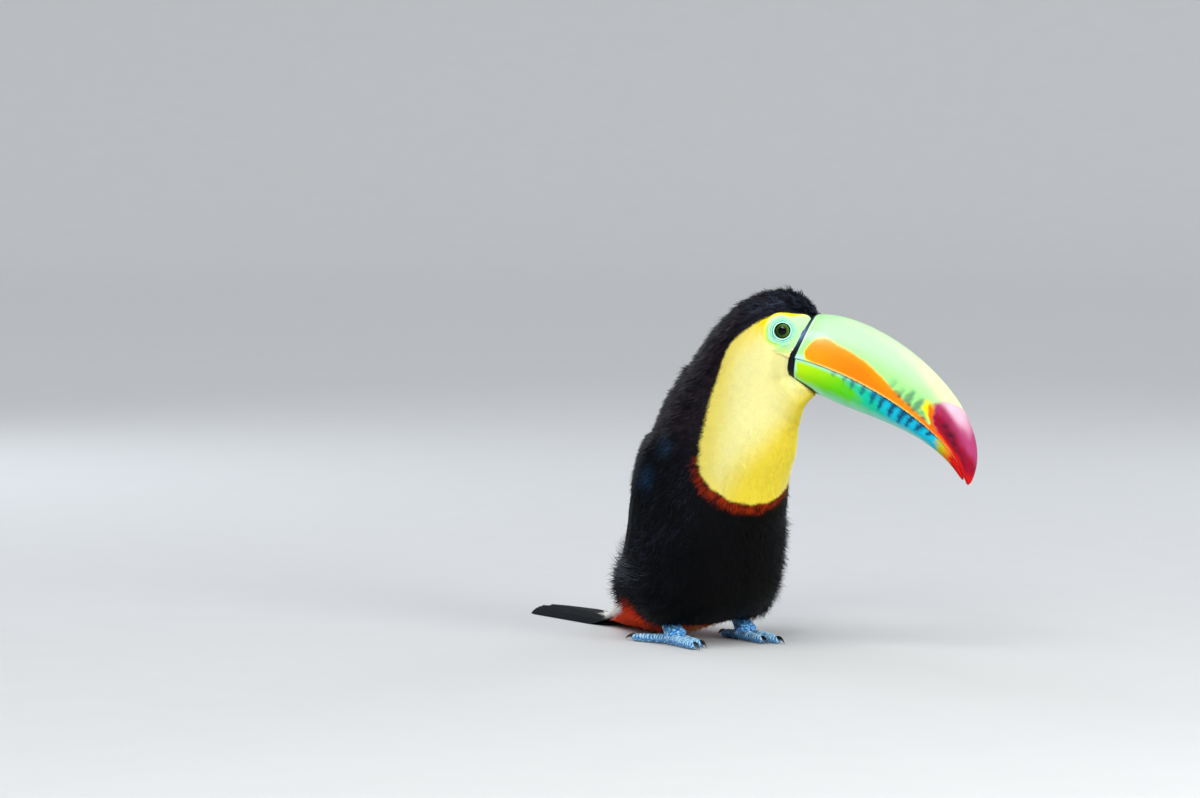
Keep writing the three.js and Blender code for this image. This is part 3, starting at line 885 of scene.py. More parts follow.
@dataclass(frozen=True)
class Tufts:
    """One tract of small feathers, each a tuft of tapering slivers that rise from the skin.

    Sizes are in millimetres; those that are functions take the root's two parameters.
    """

    density: Spread  # tufts per square millimetre
    length: Spread
    width: float
    rise: Spread  # how high the tip stands above the skin
    barbs: int = 3
    fan: float = 0.3  # radians that the outer slivers lean aside; below 0 they lean together
    spread: float = 0  # how far apart the outer slivers' roots are
    sway: float = 0.1  # how far slivers bow to either side, as a share of their length
    arc: float = 0  # how far they all bow to one side
    stagger: float = 0.25  # how much lengths vary
    stray: float = 0.25  # how much the tips' heights vary
    lean: Spread | None = None  # radians that the tuft turns from the lie of the coat
    curve: float = 1.3  # the power by which a sliver rises along its length
    round_: float = 0.45  # how much a sliver is shaded as if it were round
    ragged: float = 0.4  # how far a marking's edge strays from tuft to tuft
    own: float = 0.15  # how much of a tuft's colour comes from its root, and not from the place under it

    ROWS = np.array([0.0, 0.34, 0.7])
    WIDTHS = np.array([0.55, 1.0, 0.72])
    FOOT = 0.05  # how far above the skin a sliver starts
    OVER_FLOOR = 0.4  # the least height of any tip

    def grow(self, ground: Ground, masks: Callable[[Array, Array, Array], Masks], seed: int) -> Patch:
        """Lays the tract on a surface.

        Each sliver runs straight in the surface's two parameters, bowed aside by sway times its length, with
        a width that swells and then tapers to a point. Its height is rise times (way along)^curve above the
        skin.

        Args:
            ground: The skin.
            masks: Gives the colour masks at a place, with a ragged shift in millimetres.
            seed: Picks the random draws.

        Returns:
            The patch.
        """
        draw = np.random.default_rng(seed)
        s0, a0 = ground.scatter(self.density)
        n, barbs = len(s0), self.barbs
        count = n * barbs
        ragged = draw.normal(0, self.ragged, n)
        tone = draw.uniform(0, 1, n)
        length = self.length(s0, a0) * draw.uniform(1 - self.stagger, 1 + self.stagger, n)
        rise = self.rise(s0, a0) * (1 + self.stray * draw.standard_normal(n).clip(-1.5, 2.5))
        lean = draw.normal(0, 0.12, n) + (self.lean(s0, a0) if self.lean else 0)
        k = np.linspace(-1, 1, barbs) if barbs > 1 else np.zeros(1)
        turn = (k[None] * self.fan + draw.normal(0, 0.08, (n, barbs)) + lean[:, None]).ravel()
        reach = (length[:, None] * (1 - 0.22 * k[None] ** 2) * draw.uniform(0.85, 1.1, (n, barbs))).ravel()
        high = (rise[:, None] * draw.uniform(0.85, 1.15, (n, barbs))).ravel()
        bow = (draw.normal(0, self.sway, count) + self.arc) * reach
        off = np.tile(k, n) * self.spread
        s, a = np.repeat(s0, barbs), np.repeat(a0, barbs)
        one, two = ground.reach(s, a)
        flat = np.sqrt(np.maximum(reach**2 - high**2, (0.35 * reach) ** 2))
        ds, da = np.cos(turn), np.sin(turn)
        half = self.width / 2 * draw.uniform(0.8, 1.2, count)
        rows, sides = [], []
        for t, wide in zip([*self.ROWS, 1], [*self.WIDTHS, 0]):
            middle = bow * 4 * t * (1 - t) + off
            for edge in (-1, 1) if wide else (0,):
                side = middle + edge * half * wide
                along = flat * t
                rows.append((s + (ds * along - da * side) / one, a + (da * along + ds * side) / two,
                             high * t**self.curve + self.FOOT))
                sides.append(edge)
        each = len(rows)
        ps, pa, ph = (np.stack([r[i] for r in rows], 1) for i in range(3))
        places, normals = ground.read(ps, pa)
        points = places + normals * ph[..., None]
        points[..., 2] = np.maximum(points[..., 2], self.OVER_FLOOR)
        across = unit(points[:, 3] - points[:, 2])
        shading = unit(normals + across[:, None] * (np.array(sides)[None, :, None] * self.round_))
        base = (np.arange(count) * each)[:, None]
        quads = np.concatenate([base + 2 * row + [[0, 1, 3, 2]] for row in range(len(self.ROWS) - 1)])
        tips = base + [[each - 3, each - 2, each - 1]]
        way = np.append(np.repeat(self.ROWS, 2), 1)
        under = (root + (1 - self.own) * (p - root) for root, p in ((s[:, None], ps), (a[:, None], pa)))
        marks = masks(*under, np.repeat(ragged, barbs)[:, None])
        tone = np.repeat(tone, barbs)[:, None]
        # The painted blue sheen at the shoulders, streaked from tuft to tuft by tone.
        gloss = MARKS.gloss(points.reshape(-1, 3)).reshape(count, each)
        marks |= {"tone": tone, "along": way, "blue": gloss * (0.15 + tone)}
        values = {key: np.broadcast_to(v, (count, each)).ravel() for key, v in marks.items()}
        local = np.stack([way, np.append(np.tile([0, 1], 3), 0.5)], -1)
        home = ground.share(s, a)[:, None] * (1 - 2 * BAKE_PATCH) + BAKE_PATCH
        bake = (home + (local[None] - 0.5) * BAKE_PATCH).reshape(-1, 2)
        points, normals, shading = (v.reshape(-1, 3) for v in (points, normals, shading))
        return facing(Patch(points, [quads, tips], values, bake, shading), normals)


@dataclass(frozen=True)
class Vanes:
    """Large feathers with a shaft and two webs, each along a straight run of the surface's two parameters."""

    rows: int = 14
    columns: int = 7
    tip: float = 0.82  # where the sides start to close into a rounded tip
    camber: float = 0.09  # how far the webs' edges drop, as a share of the half width
    shaft: float = 0.35  # the shaft's height above the webs, in millimetres
    barb_step: float = 0.9  # millimetres between the drawn barbs, coarser than life so that they show

    def lay(self, ground: Ground, start: Array, end: Array, half: Array, height: Array, lift: Array,
            inner: float = 0.5) -> Patch:
        """Lays feathers from start to end.

        Along the way k the half width is half times (k * 9)^0.5 up to 1, closed at the tip by a quarter
        ellipse; the height is height plus lift times k^2, less camber towards the edges, plus the shaft's
        ridge.

        Args:
            ground: The surface.
            start: Each root's two parameters.
            end: Each tip's two parameters.
            half: Each half width in millimetres.
            height: Each height above the surface at the root.
            lift: What each tip stands above that.
            inner: Where the shaft runs across the feather, from 0 to 1.

        Returns:
            The patch.
        """
        n = len(start)
        k = np.linspace(0, 1, self.rows)[None, :, None]
        x = np.linspace(-1, 1, self.columns)[None, None, :]
        close = np.clip((k - self.tip) / (1 - self.tip), 0, 0.999)
        shape = np.minimum(1, np.sqrt(k * 9 + 0.05)) * np.sqrt(1 - close**2)
        run, half = (end - start)[:, None, None], half[:, None, None]
        s, a = (np.broadcast_to(start[:, None, None, axis] + run[..., axis] * k, (n, self.rows, self.columns))
                for axis in (0, 1))
        one, two = ground.reach(s, a)
        step_s, step_a = run[..., 0] * one, run[..., 1] * two
        size = np.sqrt(step_s**2 + step_a**2) + 1e-9
        side = half * shape * x
        sweep = half * 0.35 * (1 - x**2) * close
        ps = s + (-step_a / size * side + step_s / size * sweep) / one
        pa = a + (step_s / size * side + step_a / size * sweep) / two
        ridge = self.shaft * np.exp(-(((x - (2 * inner - 1)) * 5) ** 2)) * (1 - 0.7 * k)
        drop = self.camber * half * x**2 * shape
        up = height[:, None, None] + lift[:, None, None] * k**2 - drop + ridge
        places, normals = ground.read(ps, pa)
        points = places + normals * up[..., None]
        base = (np.arange(n) * self.rows * self.columns)[:, None, None]
        quads = (base + grid_faces(self.rows, self.columns)[None]).reshape(-1, 4)
        length = size.mean(axis=(1, 2))[:, None, None]
        slant = (k * length - np.abs(side) * 0.8) * TURN / self.barb_step
        tone = RANDOM.uniform(0, 1, n)[:, None, None]
        # A painted grey-blue highlight along each vane's edges and tip.
        fringe = ramp(0.78, 1, np.maximum(np.abs(x), close))
        values = {"along": k, "barb": slant, "tone": tone, "fringe": fringe}
        values = {key: np.broadcast_to(v, ps.shape).reshape(-1) for key, v in values.items()}
        # Feathers that lie over each other get places a little apart on the bake map, within a narrow
        # margin.
        shift = (np.arange(n) % 11 / 11 * 0.004)[:, None, None, None]
        bake = np.clip(ground.share(ps, pa) * 0.98 + 0.005 + shift, 0, 1).reshape(-1, 2)
        return facing(Patch(points.reshape(-1, 3), [quads], values, bake), normals.reshape(-1, 3))


# ---- skin and coat ----


@dataclass(frozen=True)
class Thighs:
    """The feathered tops of the legs: one ellipsoid on each side, that swells the trunk's surface over it."""

    centre: Place = (22, 8, 26)
    size: Place = (19.5, 20, 14)
    blend: float = 0.1  # how softly the trunk runs into it, as a share of its size

    def swell(self, points: Array, sink: Array) -> Array:
        """Moves points inside a thigh out to its surface.

        With r the distance from the thigh's middle as a share of its size, r becomes 1 + blend * ln(1 +
        e^((r - 1) / blend)), which is 1 well inside and r well outside.

        Args:
            points: Places on the trunk, in the bird's frame.
            sink: How far under the thigh's own surface the points go.

        Returns:
            The moved places.
        """
        moved = points
        for side in Side:
            middle = np.array(self.centre) * np.array([side.value, 1, 1])
            size = np.array(self.size) - np.asarray(sink)[..., None]
            away = (moved - middle) / size
            r = np.linalg.norm(away, axis=-1, keepdims=True) + 1e-9
            softer = 1 + self.blend * np.logaddexp(0, (r - 1) / self.blend)
            below = ramp(40, 24, moved[..., 2])[..., None]
            moved = middle + away * size * (1 + (softer / r - 1) * below)
        return moved


THIGHS = Thighs()


def past_edge(at: Array, angle: Array, back: Array = 0) -> Array:
    """How far past the bib's edge towards the belly, in radians; the edge is that of back sections before."""
    return MARKS.turn(angle) - MARKS.edge(at - back)


def zone(density: float, low: float, high: float, part: Spread, soft: float = 0.15) -> Spread:
    """Feathers between two sections.

    Args:
        density: Tufts per square millimetre.
        low: The first section.
        high: The last.
        part: What the density is multiplied by at each place.
        soft: How much of a section each end fades over, to either side.

    Returns:
        The density as a function of section number and angle.
    """
    def amount(at: Array, angle: Array) -> Array:
        """The density at each place."""
        ends = ramp(low - soft, low + soft, at) * ramp(high + soft, high - soft, at)
        return density * ends * part(at, angle)

    return amount


def feathered(at: Array, angle: Array) -> Array:
    """0 on the bare skin round the eye and under the bill's base, 1 elsewhere.

    Args:
        at: Section number.
        angle: From the spine, in radians.

    Returns:
        The share of feathers left at each place.
    """
    forward, up, _ = HEAD.local(FORM.place(at, angle))
    ahead, above = forward - EyeBall.forward, up - EyeBall.up
    yellow = past_edge(at, angle) > -0.02
    near_eye = (np.hypot(ahead / 9.8, above / np.where(above > 0, 11, 9.8)) < 1) & yellow
    lores = (ahead > 0) & (above > -12) & (above < 15) & yellow
    in_bill = (BILL.behind(forward, up) < -1.4) & (up < 25)
    return np.where(in_bill | near_eye | lores, 0, 1)


def under_wing(at: Array, angle: Array) -> Array:
    """Whether a folded wing's tip lies over the place.

    Args:
        at: Section number.
        angle: From the spine, in radians.

    Returns:
        True where it does.
    """
    way = (at - WingForm.along[0]) / (WingForm.along[1] - WingForm.along[0])
    steps = np.clip(way, 0, 1) * (len(WingForm.upper) - 1)
    low, high = (np.radians(through(np.array(v), steps)) for v in (WingForm.upper, WingForm.lower))
    return (way < 0.98) & (np.abs(angle) > low - 0.12) & (np.abs(angle) < high + 0.05)


def off_floor(at: Array, angle: Array) -> Array:
    """0 near the floor, where feathers are short so that the feet show, and 1 higher up."""
    return ramp(8, 28, THIGHS.swell(FORM.place(at, angle), 0 * angle)[..., 2])


def hanging(at: Array, angle: Array) -> Array:
    """How far the tail's coverts stand out: most under the vent, where they hang to the floor."""
    under = ramp(2.2, 2.8, np.abs(angle)) * bump(at, 14.3, 0.8)
    return np.interp(at, [13, 17], [3.2, 1.8]) + 2.8 * under


def evenly(low: float, high: float, start: float, end: float) -> Spread:
    """A size that goes evenly from low at one section to high at another."""
    return lambda at, angle: np.interp(at, [start, end], [low, high])


def raised(low: float, high: float, start: float, end: float) -> Spread:
    """The same for a black tract's rise, which is half as much where it meets the yellow."""
    plain = evenly(low, high, start, end)
    return lambda at, angle: plain(at, angle) * (0.5 + 0.5 * ramp(0, 0.4, -past_edge(at, angle)))


@dataclass(frozen=True)
class Plumage:
    """Skin and small feathers of head, neck, trunk and thighs."""

    finishes: Finishes
    head_rows: int = 150
    trunk_rows: int = 90
    columns: int = 130

    def ground(self) -> Ground:
        """The skin as a table."""
        return Ground.of(self._skin_shape, (0, FORM.last + 1), (-math.pi, math.pi), 620, 361)

    @staticmethod
    def _skin_shape(at: Array, angle: Array) -> Array:
        """The skin: the body's form less the coat's depth, narrowed into the bill's base and round the eye.

        Args:
            at: Section number.
            angle: From the spine, in radians.

        Returns:
            The places in the bird's frame.
        """
        depth = coat_depth(at, angle)
        points = THIGHS.swell(FORM.place(at, angle, -depth), depth)
        forward, up, aside = HEAD.local(points)
        wide = np.abs(aside)
        narrow = BILL.narrow(forward, up, wide, 0.6 * depth - 0.9)
        narrow = wide + (narrow - wide) * ramp(5.5, 3, at)
        from_eye = np.hypot(forward - EyeBall.forward, up - EyeBall.up)
        narrow = np.maximum(narrow - 3 * ramp(9.6, 8.2, from_eye) * (wide > 8), 0)
        _, _, axis = HEAD.axes()
        return points + axis * (np.sign(aside) * (narrow - wide))[..., None]

    def build_skin(self) -> None:
        """Makes the one skin of head, neck, trunk and thighs."""
        neck = len(FORM.head)
        rows = np.concatenate([np.linspace(0, neck, self.head_rows, endpoint=False),
                               np.linspace(neck, FORM.last, self.trunk_rows)])
        s, a = np.meshgrid(rows, np.linspace(-math.pi, math.pi, self.columns, endpoint=False), indexing="ij")
        body = facing(sheet_patch(self._skin_shape(s, a), wrap=True, caps=True, **MARKS.masks(s, a)))
        make("skin", body, self.finishes.skin,
             ("head", "neck", "trunk", "thigh_right", "thigh_left"))

    def build_coat(self) -> None:
        """Makes every tract of small feathers."""
        ground = self.ground()
        for number, (name, (tufts, finish)) in enumerate(self._tracts().items()):
            make(name, tufts.grow(ground, MARKS.masks, 100 + number), finish)

    def _tracts(self) -> dict[str, tuple[Tufts, Material]]:
        """Each tract of the body by name: how dense, long, wide and raised its tufts are, and its finish."""
        dark, pale = self.finishes.contour, self.finishes.soft
        spiky = {"fan": -0.2, "spread": 0.7, "round_": 0.6, "own": 1}
        silky = {"barbs": 2, "fan": 0.14, "round_": 0.1}

        def by_band(at: Array) -> Array:
            """0 on the neck, 1 by the red band."""
            return ramp(7.4, 8.4, at)

        long, loose = evenly(13, 18, 10, 13), evenly(4.6, 6.8, 10, 13)
        return {
            # Short black feathers of forehead, crown and nape.
            "crown_feathers": (Tufts(
                zone(2.3, -1, 5.6, lambda at, q: (past_edge(at, q) < -0.05) * feathered(at, q), 0.4),
                evenly(6, 8.5, 0, 5), 0.65, raised(1.7, 2.4, 0, 5.5), stray=0.3, curve=0.95,
                **spiky), dark),
            # Longer spikes among them.
            "crest_feathers": (Tufts(
                zone(0.36, -1, 8.5, lambda at, q: (past_edge(at, q) < -0.22) * feathered(at, q), 0.8),
                evenly(6.5, 12, 0, 5), 1.05, raised(3.2, 4, 0, 5.5), barbs=5, stray=0.33, curve=0.9,
                **spiky), dark),
            # Feathers of the forehead that stand up and forward over the bill's base.
            "forehead_feathers": (Tufts(
                zone(1.5, -1, 1.9, lambda at, q: (past_edge(at, q, 0.6) < -0.05) * feathered(at, q), 0.4),
                evenly(5.5, 6.4, 0, 1.9), 0.5, evenly(3.8, 2.9, 0, 1.9), stray=0.25, curve=0.8,
                lean=lambda at, q: np.pi + 0.5 * np.sin(at * 40), **spiky), dark),
            # Short yellow feathers of cheek and throat.
            "face_feathers": (Tufts(
                zone(4.6, -1, 5.3, lambda at, q: (past_edge(at, q) > -0.09) * feathered(at, q), 0.6),
                evenly(2.6, 4.6, 1, 5), 0.42, evenly(0.6, 1.5, 1, 5), spread=0.22, stray=0.1,
                **silky), pale),
            # The bib's longer feathers, and the red band's.
            "bib_feathers": (Tufts(
                zone(2.3, 5.3, 10, lambda at, q: (past_edge(at, q, 0.4) > -0.09) * ramp(10.1, 10, at),
                     0.6),
                evenly(4.8, 7.5, 5, 9.5), 0.55, evenly(1.5, 2.5, 5, 9.5), spread=0.3, stray=0.12,
                **silky), pale),
            # Black feathers of the neck's back and sides.
            "nape_feathers": (Tufts(
                zone(1.25, 5.3, 9.1,
                     lambda at, q: past_edge(at, q, 0.4 * by_band(at)) < 0.1 * by_band(at) - 0.05, 0.3),
                evenly(8.5, 12, 5, 9), 0.95, raised(2.8, 3.4, 5, 9), fan=-0.1, spread=0.8, stray=0.3,
                round_=0.6), dark),
            # Black feathers of breast and belly.
            "breast_feathers": (Tufts(
                zone(0.72, 8.9, 14, lambda at, q: (np.abs(q) > 1.2) * (past_edge(at, q, 0.35) < 0.05)),
                lambda at, q: 8 + 4 * off_floor(at, q), 1, lambda at, q: 2.4 + 0.9 * off_floor(at, q),
                stray=0.18), dark),
            # Long loose feathers of flanks and thighs, which hang over the legs and the wings' lower edge.
            "flank_feathers": (Tufts(
                zone(0.55, 10.2, 13.9,
                     lambda at, q: ramp(1, 1.3, np.abs(q)) * ramp(2.75, 2.45, np.abs(q))),
                lambda at, q: long(at, q) * (0.55 + 0.45 * off_floor(at, q)), 0.6,
                lambda at, q: loose(at, q) * (0.5 + 0.5 * off_floor(at, q)), barbs=5, fan=0.45,
                spread=0.8, sway=0.16, stray=0.35, stagger=0.35, curve=1.6, round_=0.6), dark),
            # Black feathers of the back, which end where the wings' tips lie over them.
            "back_feathers": (Tufts(
                zone(0.8, 8.9, 14.6, lambda at, q: (np.abs(q) <= 1.25) * ~(under_wing(at, q) & (at > 13.7))),
                evenly(10, 13, 9, 13), 1.1, evenly(3.1, 3.4, 9, 13.5)), dark),
            # White feathers over the tail's root and red ones under it.
            "tail_coverts": (Tufts(
                zone(0.62, 13.2, 17, lambda at, q: ~under_wing(at, q) * ((at < 16.2) | (np.abs(q) < 1.8))),
                evenly(12, 15, 13, 17), 1.3, hanging, fan=0.25, round_=0.25), pale),
        }


# ---- bill ----


@dataclass(frozen=True)
class BillForm:
    """The bill in the head's level plane: three cubic curves from base to tip, and even half widths."""

    culmen: tuple = ((1, 26), (38, 47.5), (134, 12.5), (123.5, -36))
    gape: tuple = ((0, 0), (29, 6.5), (102, -4), (119.5, -31.5))
    gonys: tuple = ((2, -12), (40, -24), (85, -6), (119, -33.5))
    half_width: tuple = (15.6, 16.4, 15.6, 13.4, 10.2, 6.5, 2.6)
    lower_share: float = 0.94
    seam: float = 0.15
    round_from: float = 0.968  # where the tip starts to round off
    teeth: float = 0.16  # the depth of the cutting edge's notches

    # The line of the bill's base on the side of the level head, from under the chin to the crown: heights,
    # and how far forward it is at each.
    BASE_UP = (-18.5, -15.5, -13.5, -11.5, 0, 6, 14, 24, 46)
    BASE_FORWARD = (21, 15, 7, 1.5, -0.5, 1.5, 3, 2, 2)

    @staticmethod
    def base_line(up: Array) -> Array:
        """How far forward the bill's base is at each height in the level head."""
        return np.interp(up, BillForm.BASE_UP, BillForm.BASE_FORWARD)

    @staticmethod
    def behind(forward: Array, up: Array) -> Array:
        """The distance behind the base's line, less than 0 ahead of it: the least of those to its pieces."""
        forward, up = np.broadcast_arrays(forward, up)
        line = np.stack([BillForm.BASE_FORWARD, BillForm.BASE_UP], -1)
        nearest = np.full(forward.shape, np.inf)
        for start, end in zip(line[:-1], line[1:]):
            run = end - start
            x, y = forward - start[0], up - start[1]
            t = np.clip((x * run[0] + y * run[1]) / (run @ run), 0, 1)
            nearest = np.minimum(nearest, np.hypot(x - t * run[0], y - t * run[1]))
        return nearest * np.where(forward < BillForm.base_line(up), 1, -1)

    def narrow(self, forward: Array, up: Array, wide: Array, sunk: Array) -> Array:
        """How wide the head is to each side, once it has run into the bill's base without a step.

        The base's own half width at each height is a cosine power as in half. What the head has over that,
        softened by 1.5 ln(1 + e^(x / 1.5)), goes away over the last 11 mm behind the base's line, and over 5
        mm by the eye; ahead of the line the head shrinks on.

        Args:
            forward: Places in the level head.
            up: Their heights.
            wide: The head's own half width there.
            sunk: How far under the bill's surface the result lies at the base.

        Returns:
            The new half width.
        """
        over, under = np.clip(up / 26, 0, 1) ** (1 / 0.92), np.clip(-up / 12.5, 0, 1) ** (1 / 0.8)
        base = np.where(up > 0, self.half_width[0] * (1 - over**2) ** 0.425,
                        self.lower_share * self.half_width[0] * (1 - under**2) ** 0.425)
        base = np.maximum(base, np.interp(up, [-20, -16, -8], [9, 12, 13]))
        behind = self.behind(forward, up)
        over_base = 1.5 * np.logaddexp(0, (wide - base + sunk) / 1.5)
        reach = np.interp(up, [0, 7], [11, 5])
        kept = wide - over_base * ramp(1, -0.1, behind / reach) + 2.2 * np.clip(behind, -3.5, 0)
        return wide + (np.maximum(kept, 0.3) - wide) * ramp(24, 17, up)

    def half(self, ridge: tuple, share: float, roundness: float, rows: int,
             columns: int) -> tuple[Array, Array, Array]:
        """One half of the bill, from the gape line up or down to its ridge.

        Each section is an arch: aside by half the width times cos(k)^0.85, and from the gape line towards
        the ridge by the depth times sin(k)^roundness, for k from 0 to pi. Its flat face along the gape
        closes it. Near the tip the sections shrink about their middles by (1 - u^2)^0.5, u going from 0 to
        1. Small notches break the edge.

        Args:
            ridge: The culmen's or gonys's curve.
            share: Its width as a share of the bill's.
            roundness: How full the arch is.
            rows: Steps from base to tip.
            columns: Steps round.

        Returns:
            The grid of places, and the way along (0 base, 1 tip) and up the side (0 gape, 1 ridge) of each.
        """
        k = np.sin(np.linspace(0, 1, rows) * np.pi / 2) ** 1.1
        turn = np.linspace(0, 2 * np.pi, columns, endpoint=False)
        turn = turn - 0.32 * np.sin(2 * turn)
        k, turn = np.meshgrid(k, turn, indexing="ij")
        low, high = bezier(np.array(self.gape), k), bezier(np.array(ridge), k)
        run = high - low
        depth = np.linalg.norm(run, axis=-1)
        toward = run / depth[..., None]
        lift = np.sin(turn)
        arch = self.seam + (depth - self.seam) * np.abs(lift) ** roundness
        rise = np.where(lift > 0, arch, self.seam * (1 + 0.3 * lift))
        side = np.clip(rise / depth, 0, 1)
        width = through(np.array(self.half_width), k * (len(self.half_width) - 1)) * share
        close = np.clip((k - self.round_from) / (1 - self.round_from), 0, 0.995)
        shrink = np.sqrt(1 - close**2)
        rise = depth / 2 + (rise - depth / 2) * shrink
        saw = ramp(0.2, 1, np.sin(k * 330 + 2 * np.sin(k * 47)))
        tooth = saw * bump(side, 0, 0.05) * ramp(0.2, 0.35, k)
        aside = width * signed_power(np.cos(turn), 0.85) * shrink * (1 - self.teeth * 0.25 * tooth)
        rise = rise + self.teeth * tooth
        rim = 1 + 0.02 * ramp(0.045, 0.02, k) + 0.05 * ramp(0.03, 0, k) * (np.mean(ridge, 0)[1] < 0)
        flat = low + toward * (depth / 2 + (rise - depth / 2) * rim)[..., None]
        return HEAD.point(flat[..., 0], flat[..., 1], aside * rim), k, side


BILL = BillForm()


@dataclass(frozen=True)
class UpperBill:
    """The upper half: pale green, with an orange blotch along the cutting edge, smudges, and a red tip."""

    finishes: Finishes
    rows: int = 300
    columns: int = 160

    # Where the blotch's top is up the side, at some ways along, and where its low rear corner is.
    BLOTCH = ((0.06, 0.085, 0.12, 0.2, 0.28, 0.34, 0.4, 0.45, 0.5, 0.56, 0.62, 0.9, 1),
              (0, 0.4, 0.54, 0.51, 0.465, 0.425, 0.35, 0.285, 0.235, 0.19, 0.165, 0.12, 0.1))
    # How far along the red tip starts, at some heights up the side.
    TIP = ((0, 0.2, 0.26, 0.49, 0.8, 0.92, 1), (0.705, 0.69, 0.662, 0.622, 0.618, 0.645, 0.678))
    # Each smudge's way along, its top, its width and its strength.
    SMUDGES = ((0.458, 0.46, 0.014, 0.45), (0.5, 0.42, 0.013, 0.45), (0.536, 0.5, 0.015, 0.85),
               (0.58, 0.5, 0.016, 0.85), (0.612, 0.32, 0.015, 0.6))
    # Each dark spot's way along the tip, its height, its length and height there, and its strength.
    SPOTS = ((0.715, 0.42, 0.026, 0.13, 0.8), (0.755, 0.37, 0.034, 0.15, 0.95),
             (0.805, 0.32, 0.04, 0.11, 0.8), (0.87, 0.34, 0.05, 0.12, 0.55))

    # Some layers are painted light: a sheen on the upper side, highlights on the tip's ridge, the cutting
    # edge and beside the band, and a blue reflection on the band.
    LAYERS = (
        ("cream", "#dfe8a6"), ("haze", "#b2e6ba"), ("leaf", "#93e07c"), ("sky", "#b5dcea"),
        ("fringe", "#e3ef12"), ("amber", "#fba806"), ("orange", "#fa7800"), ("umber", "#6b4008"),
        ("smudge", "#4b7c5e"), ("lime", "#dcd808"), ("ochre", "#d0600a"), ("pink", "#a03a68"),
        ("blush", "#e4c4d6"), ("crimson", "#8a0526"), ("dark", "#3a0a1e"), ("red", "#c00a0c"),
        ("edge", "#ef6a0a"), ("rim", "#f9c47a"), ("line", "#e9fbf4"), ("band", "#0a0d14"),
        ("gloss", "#2c4c78"),
    )

    def masks(self, k: Array, side: Array) -> Masks:
        """The markings at each way along (k) and up the side."""
        soft = waves(k * 140, side * 40, 14, 3)
        fine = waves(k * 140, side * 34, 4.5, 4)
        top = course(k, *self.BLOTCH)
        low = course(k, (0.06, 0.085, 0.13), (0.3, 0.1, 0.02))
        inside = np.where(k > 0.057, top - side + 0.004 * soft + 0.002 * fine, -1)
        above = side - low
        taper = ramp(0.74, 0.66, k)
        orange = ramp(-0.004, 0.06, inside) * ramp(-0.01, 0.04, above) * taper
        amber = ramp(-0.02, 0.012, inside) * ramp(-0.02, 0.01, above) * taper
        fringe = ramp(-0.05, 0, inside) * ramp(-0.06, 0, above) * ramp(0.5, 0.2, k)
        smudge = np.zeros_like(k)
        for at, reach, width, strength in self.SMUDGES:
            slant = at - 0.055 * (side - 0.3) + 0.003 * fine
            foot = np.interp(at, self.BLOTCH[0], self.BLOTCH[1]) - 0.03
            mark = bump(k, slant, width) * ramp(reach + 0.06, reach - 0.08, side)
            smudge = np.maximum(smudge, strength * mark * ramp(foot - 0.05, foot + 0.03, side))
        past = k - course(side, *self.TIP) + 0.004 * soft + 0.0015 * fine
        tip = ramp(-0.014, 0.014, past + 0.003 * fine - 0.016 * ramp(0.6, 0.4, side))
        end = ramp(0.8, 0.95, k)
        crimson = ramp(0.78, 0.36, side + 0.03 * soft + 0.012 * fine - 0.6 * end)
        dark = np.zeros_like(k)
        for at, height, long, tall, strength in self.SPOTS:
            spot = ((k - at) / long) ** 2 + ((side - height + 0.9 * (k - at)) / tall) ** 2
            dark = np.maximum(dark, strength * np.exp(-spot) * (0.8 + 0.25 * fine))
        ridge = course(k, (0, 0.25, 0.45, 0.6, 1), (1, 0.93, 0.82, 0.68, 0.6))
        return {
            "cream": ramp(-0.12, 0.18, side + 0.01 * soft - ridge) * ramp(0.02, 0.2, k) * 0.85,
            # A painted pale sheen along the upper side.
            "haze": 0.6 * ramp(0.42, 0.75, side) * ramp(0.02, 0.1, k) * ramp(0.7, 0.35, k),
            "leaf": 0.7 * ramp(0.05, 0.12, inside + 0.17) * ramp(0.3, 0.45, k) * (0.7 + 0.3 * soft),
            "sky": 0.8 * ramp(0.16, 0.03, side) * ramp(0.115, 0.06, k),
            "fringe": fringe * ramp(0.13, 0.08, k),
            "amber": amber * np.maximum(0.1 + 0.9 * ramp(0.15, 0.09, k), ramp(0, 0.05, inside)),
            "orange": orange * (0.75 + 0.25 * ramp(0.05, 0.2, inside))
            * (0.55 + 0.45 * ramp(0.08, 0.32, k)),
            "umber": 0.9 * bump(inside, 0.02, 0.06) * ramp(0.44, 0.5, k) * ramp(0.72, 0.66, k)
            * np.clip(0.5 + 0.6 * fine, 0, 1),
            "smudge": np.clip(smudge, 0, 1),
            "lime": ramp(-0.052, -0.04, past + 0.004 * fine) * ramp(0.6, 0.45, side)
            * ramp(0.18, 0.26, side),
            "ochre": ramp(-0.03, -0.016, past + 0.003 * soft) * ramp(0.62, 0.42, side),
            "pink": tip,
            # A painted pale highlight along the tip's ridge.
            "blush": 0.8 * tip * ramp(0.62, 0.8, side) * ramp(0.8, 0.64, k + 0.02 * soft),
            "crimson": tip * crimson,
            "dark": tip * np.clip(dark, 0, 1),
            "red": np.maximum(tip * ramp(0.27, 0.12, side + 0.02 * soft - 0.1 * end),
                              ramp(0.925, 0.975, k)),
            "edge": 0.9 * ramp(0.16, 0.06, side + 0.02 * soft) * ramp(0.6, 0.68, k)
            * ramp(0.86, 0.8, k),
            # A painted highlight: a thin light line along the cutting edge.
            "rim": 0.85 * ramp(0.045, 0.015, side) * ramp(0.1, 0.2, k) * ramp(0.95, 0.85, k),
            # A painted highlight: a thin light line beside the black band.
            "line": bump(k, 0.04, 0.0035) * ramp(0.1, 0.3, side) * 0.5,
            "band": ramp(0.0365, 0.033, k + 0.003 * side - 0.003),
            # A painted blue reflection on the black band's upper part.
            "gloss": ramp(0.034, 0.03, k) * 0.8 * bump(side, 0.62, 0.25) * bump(k, 0.02, 0.012),
        }

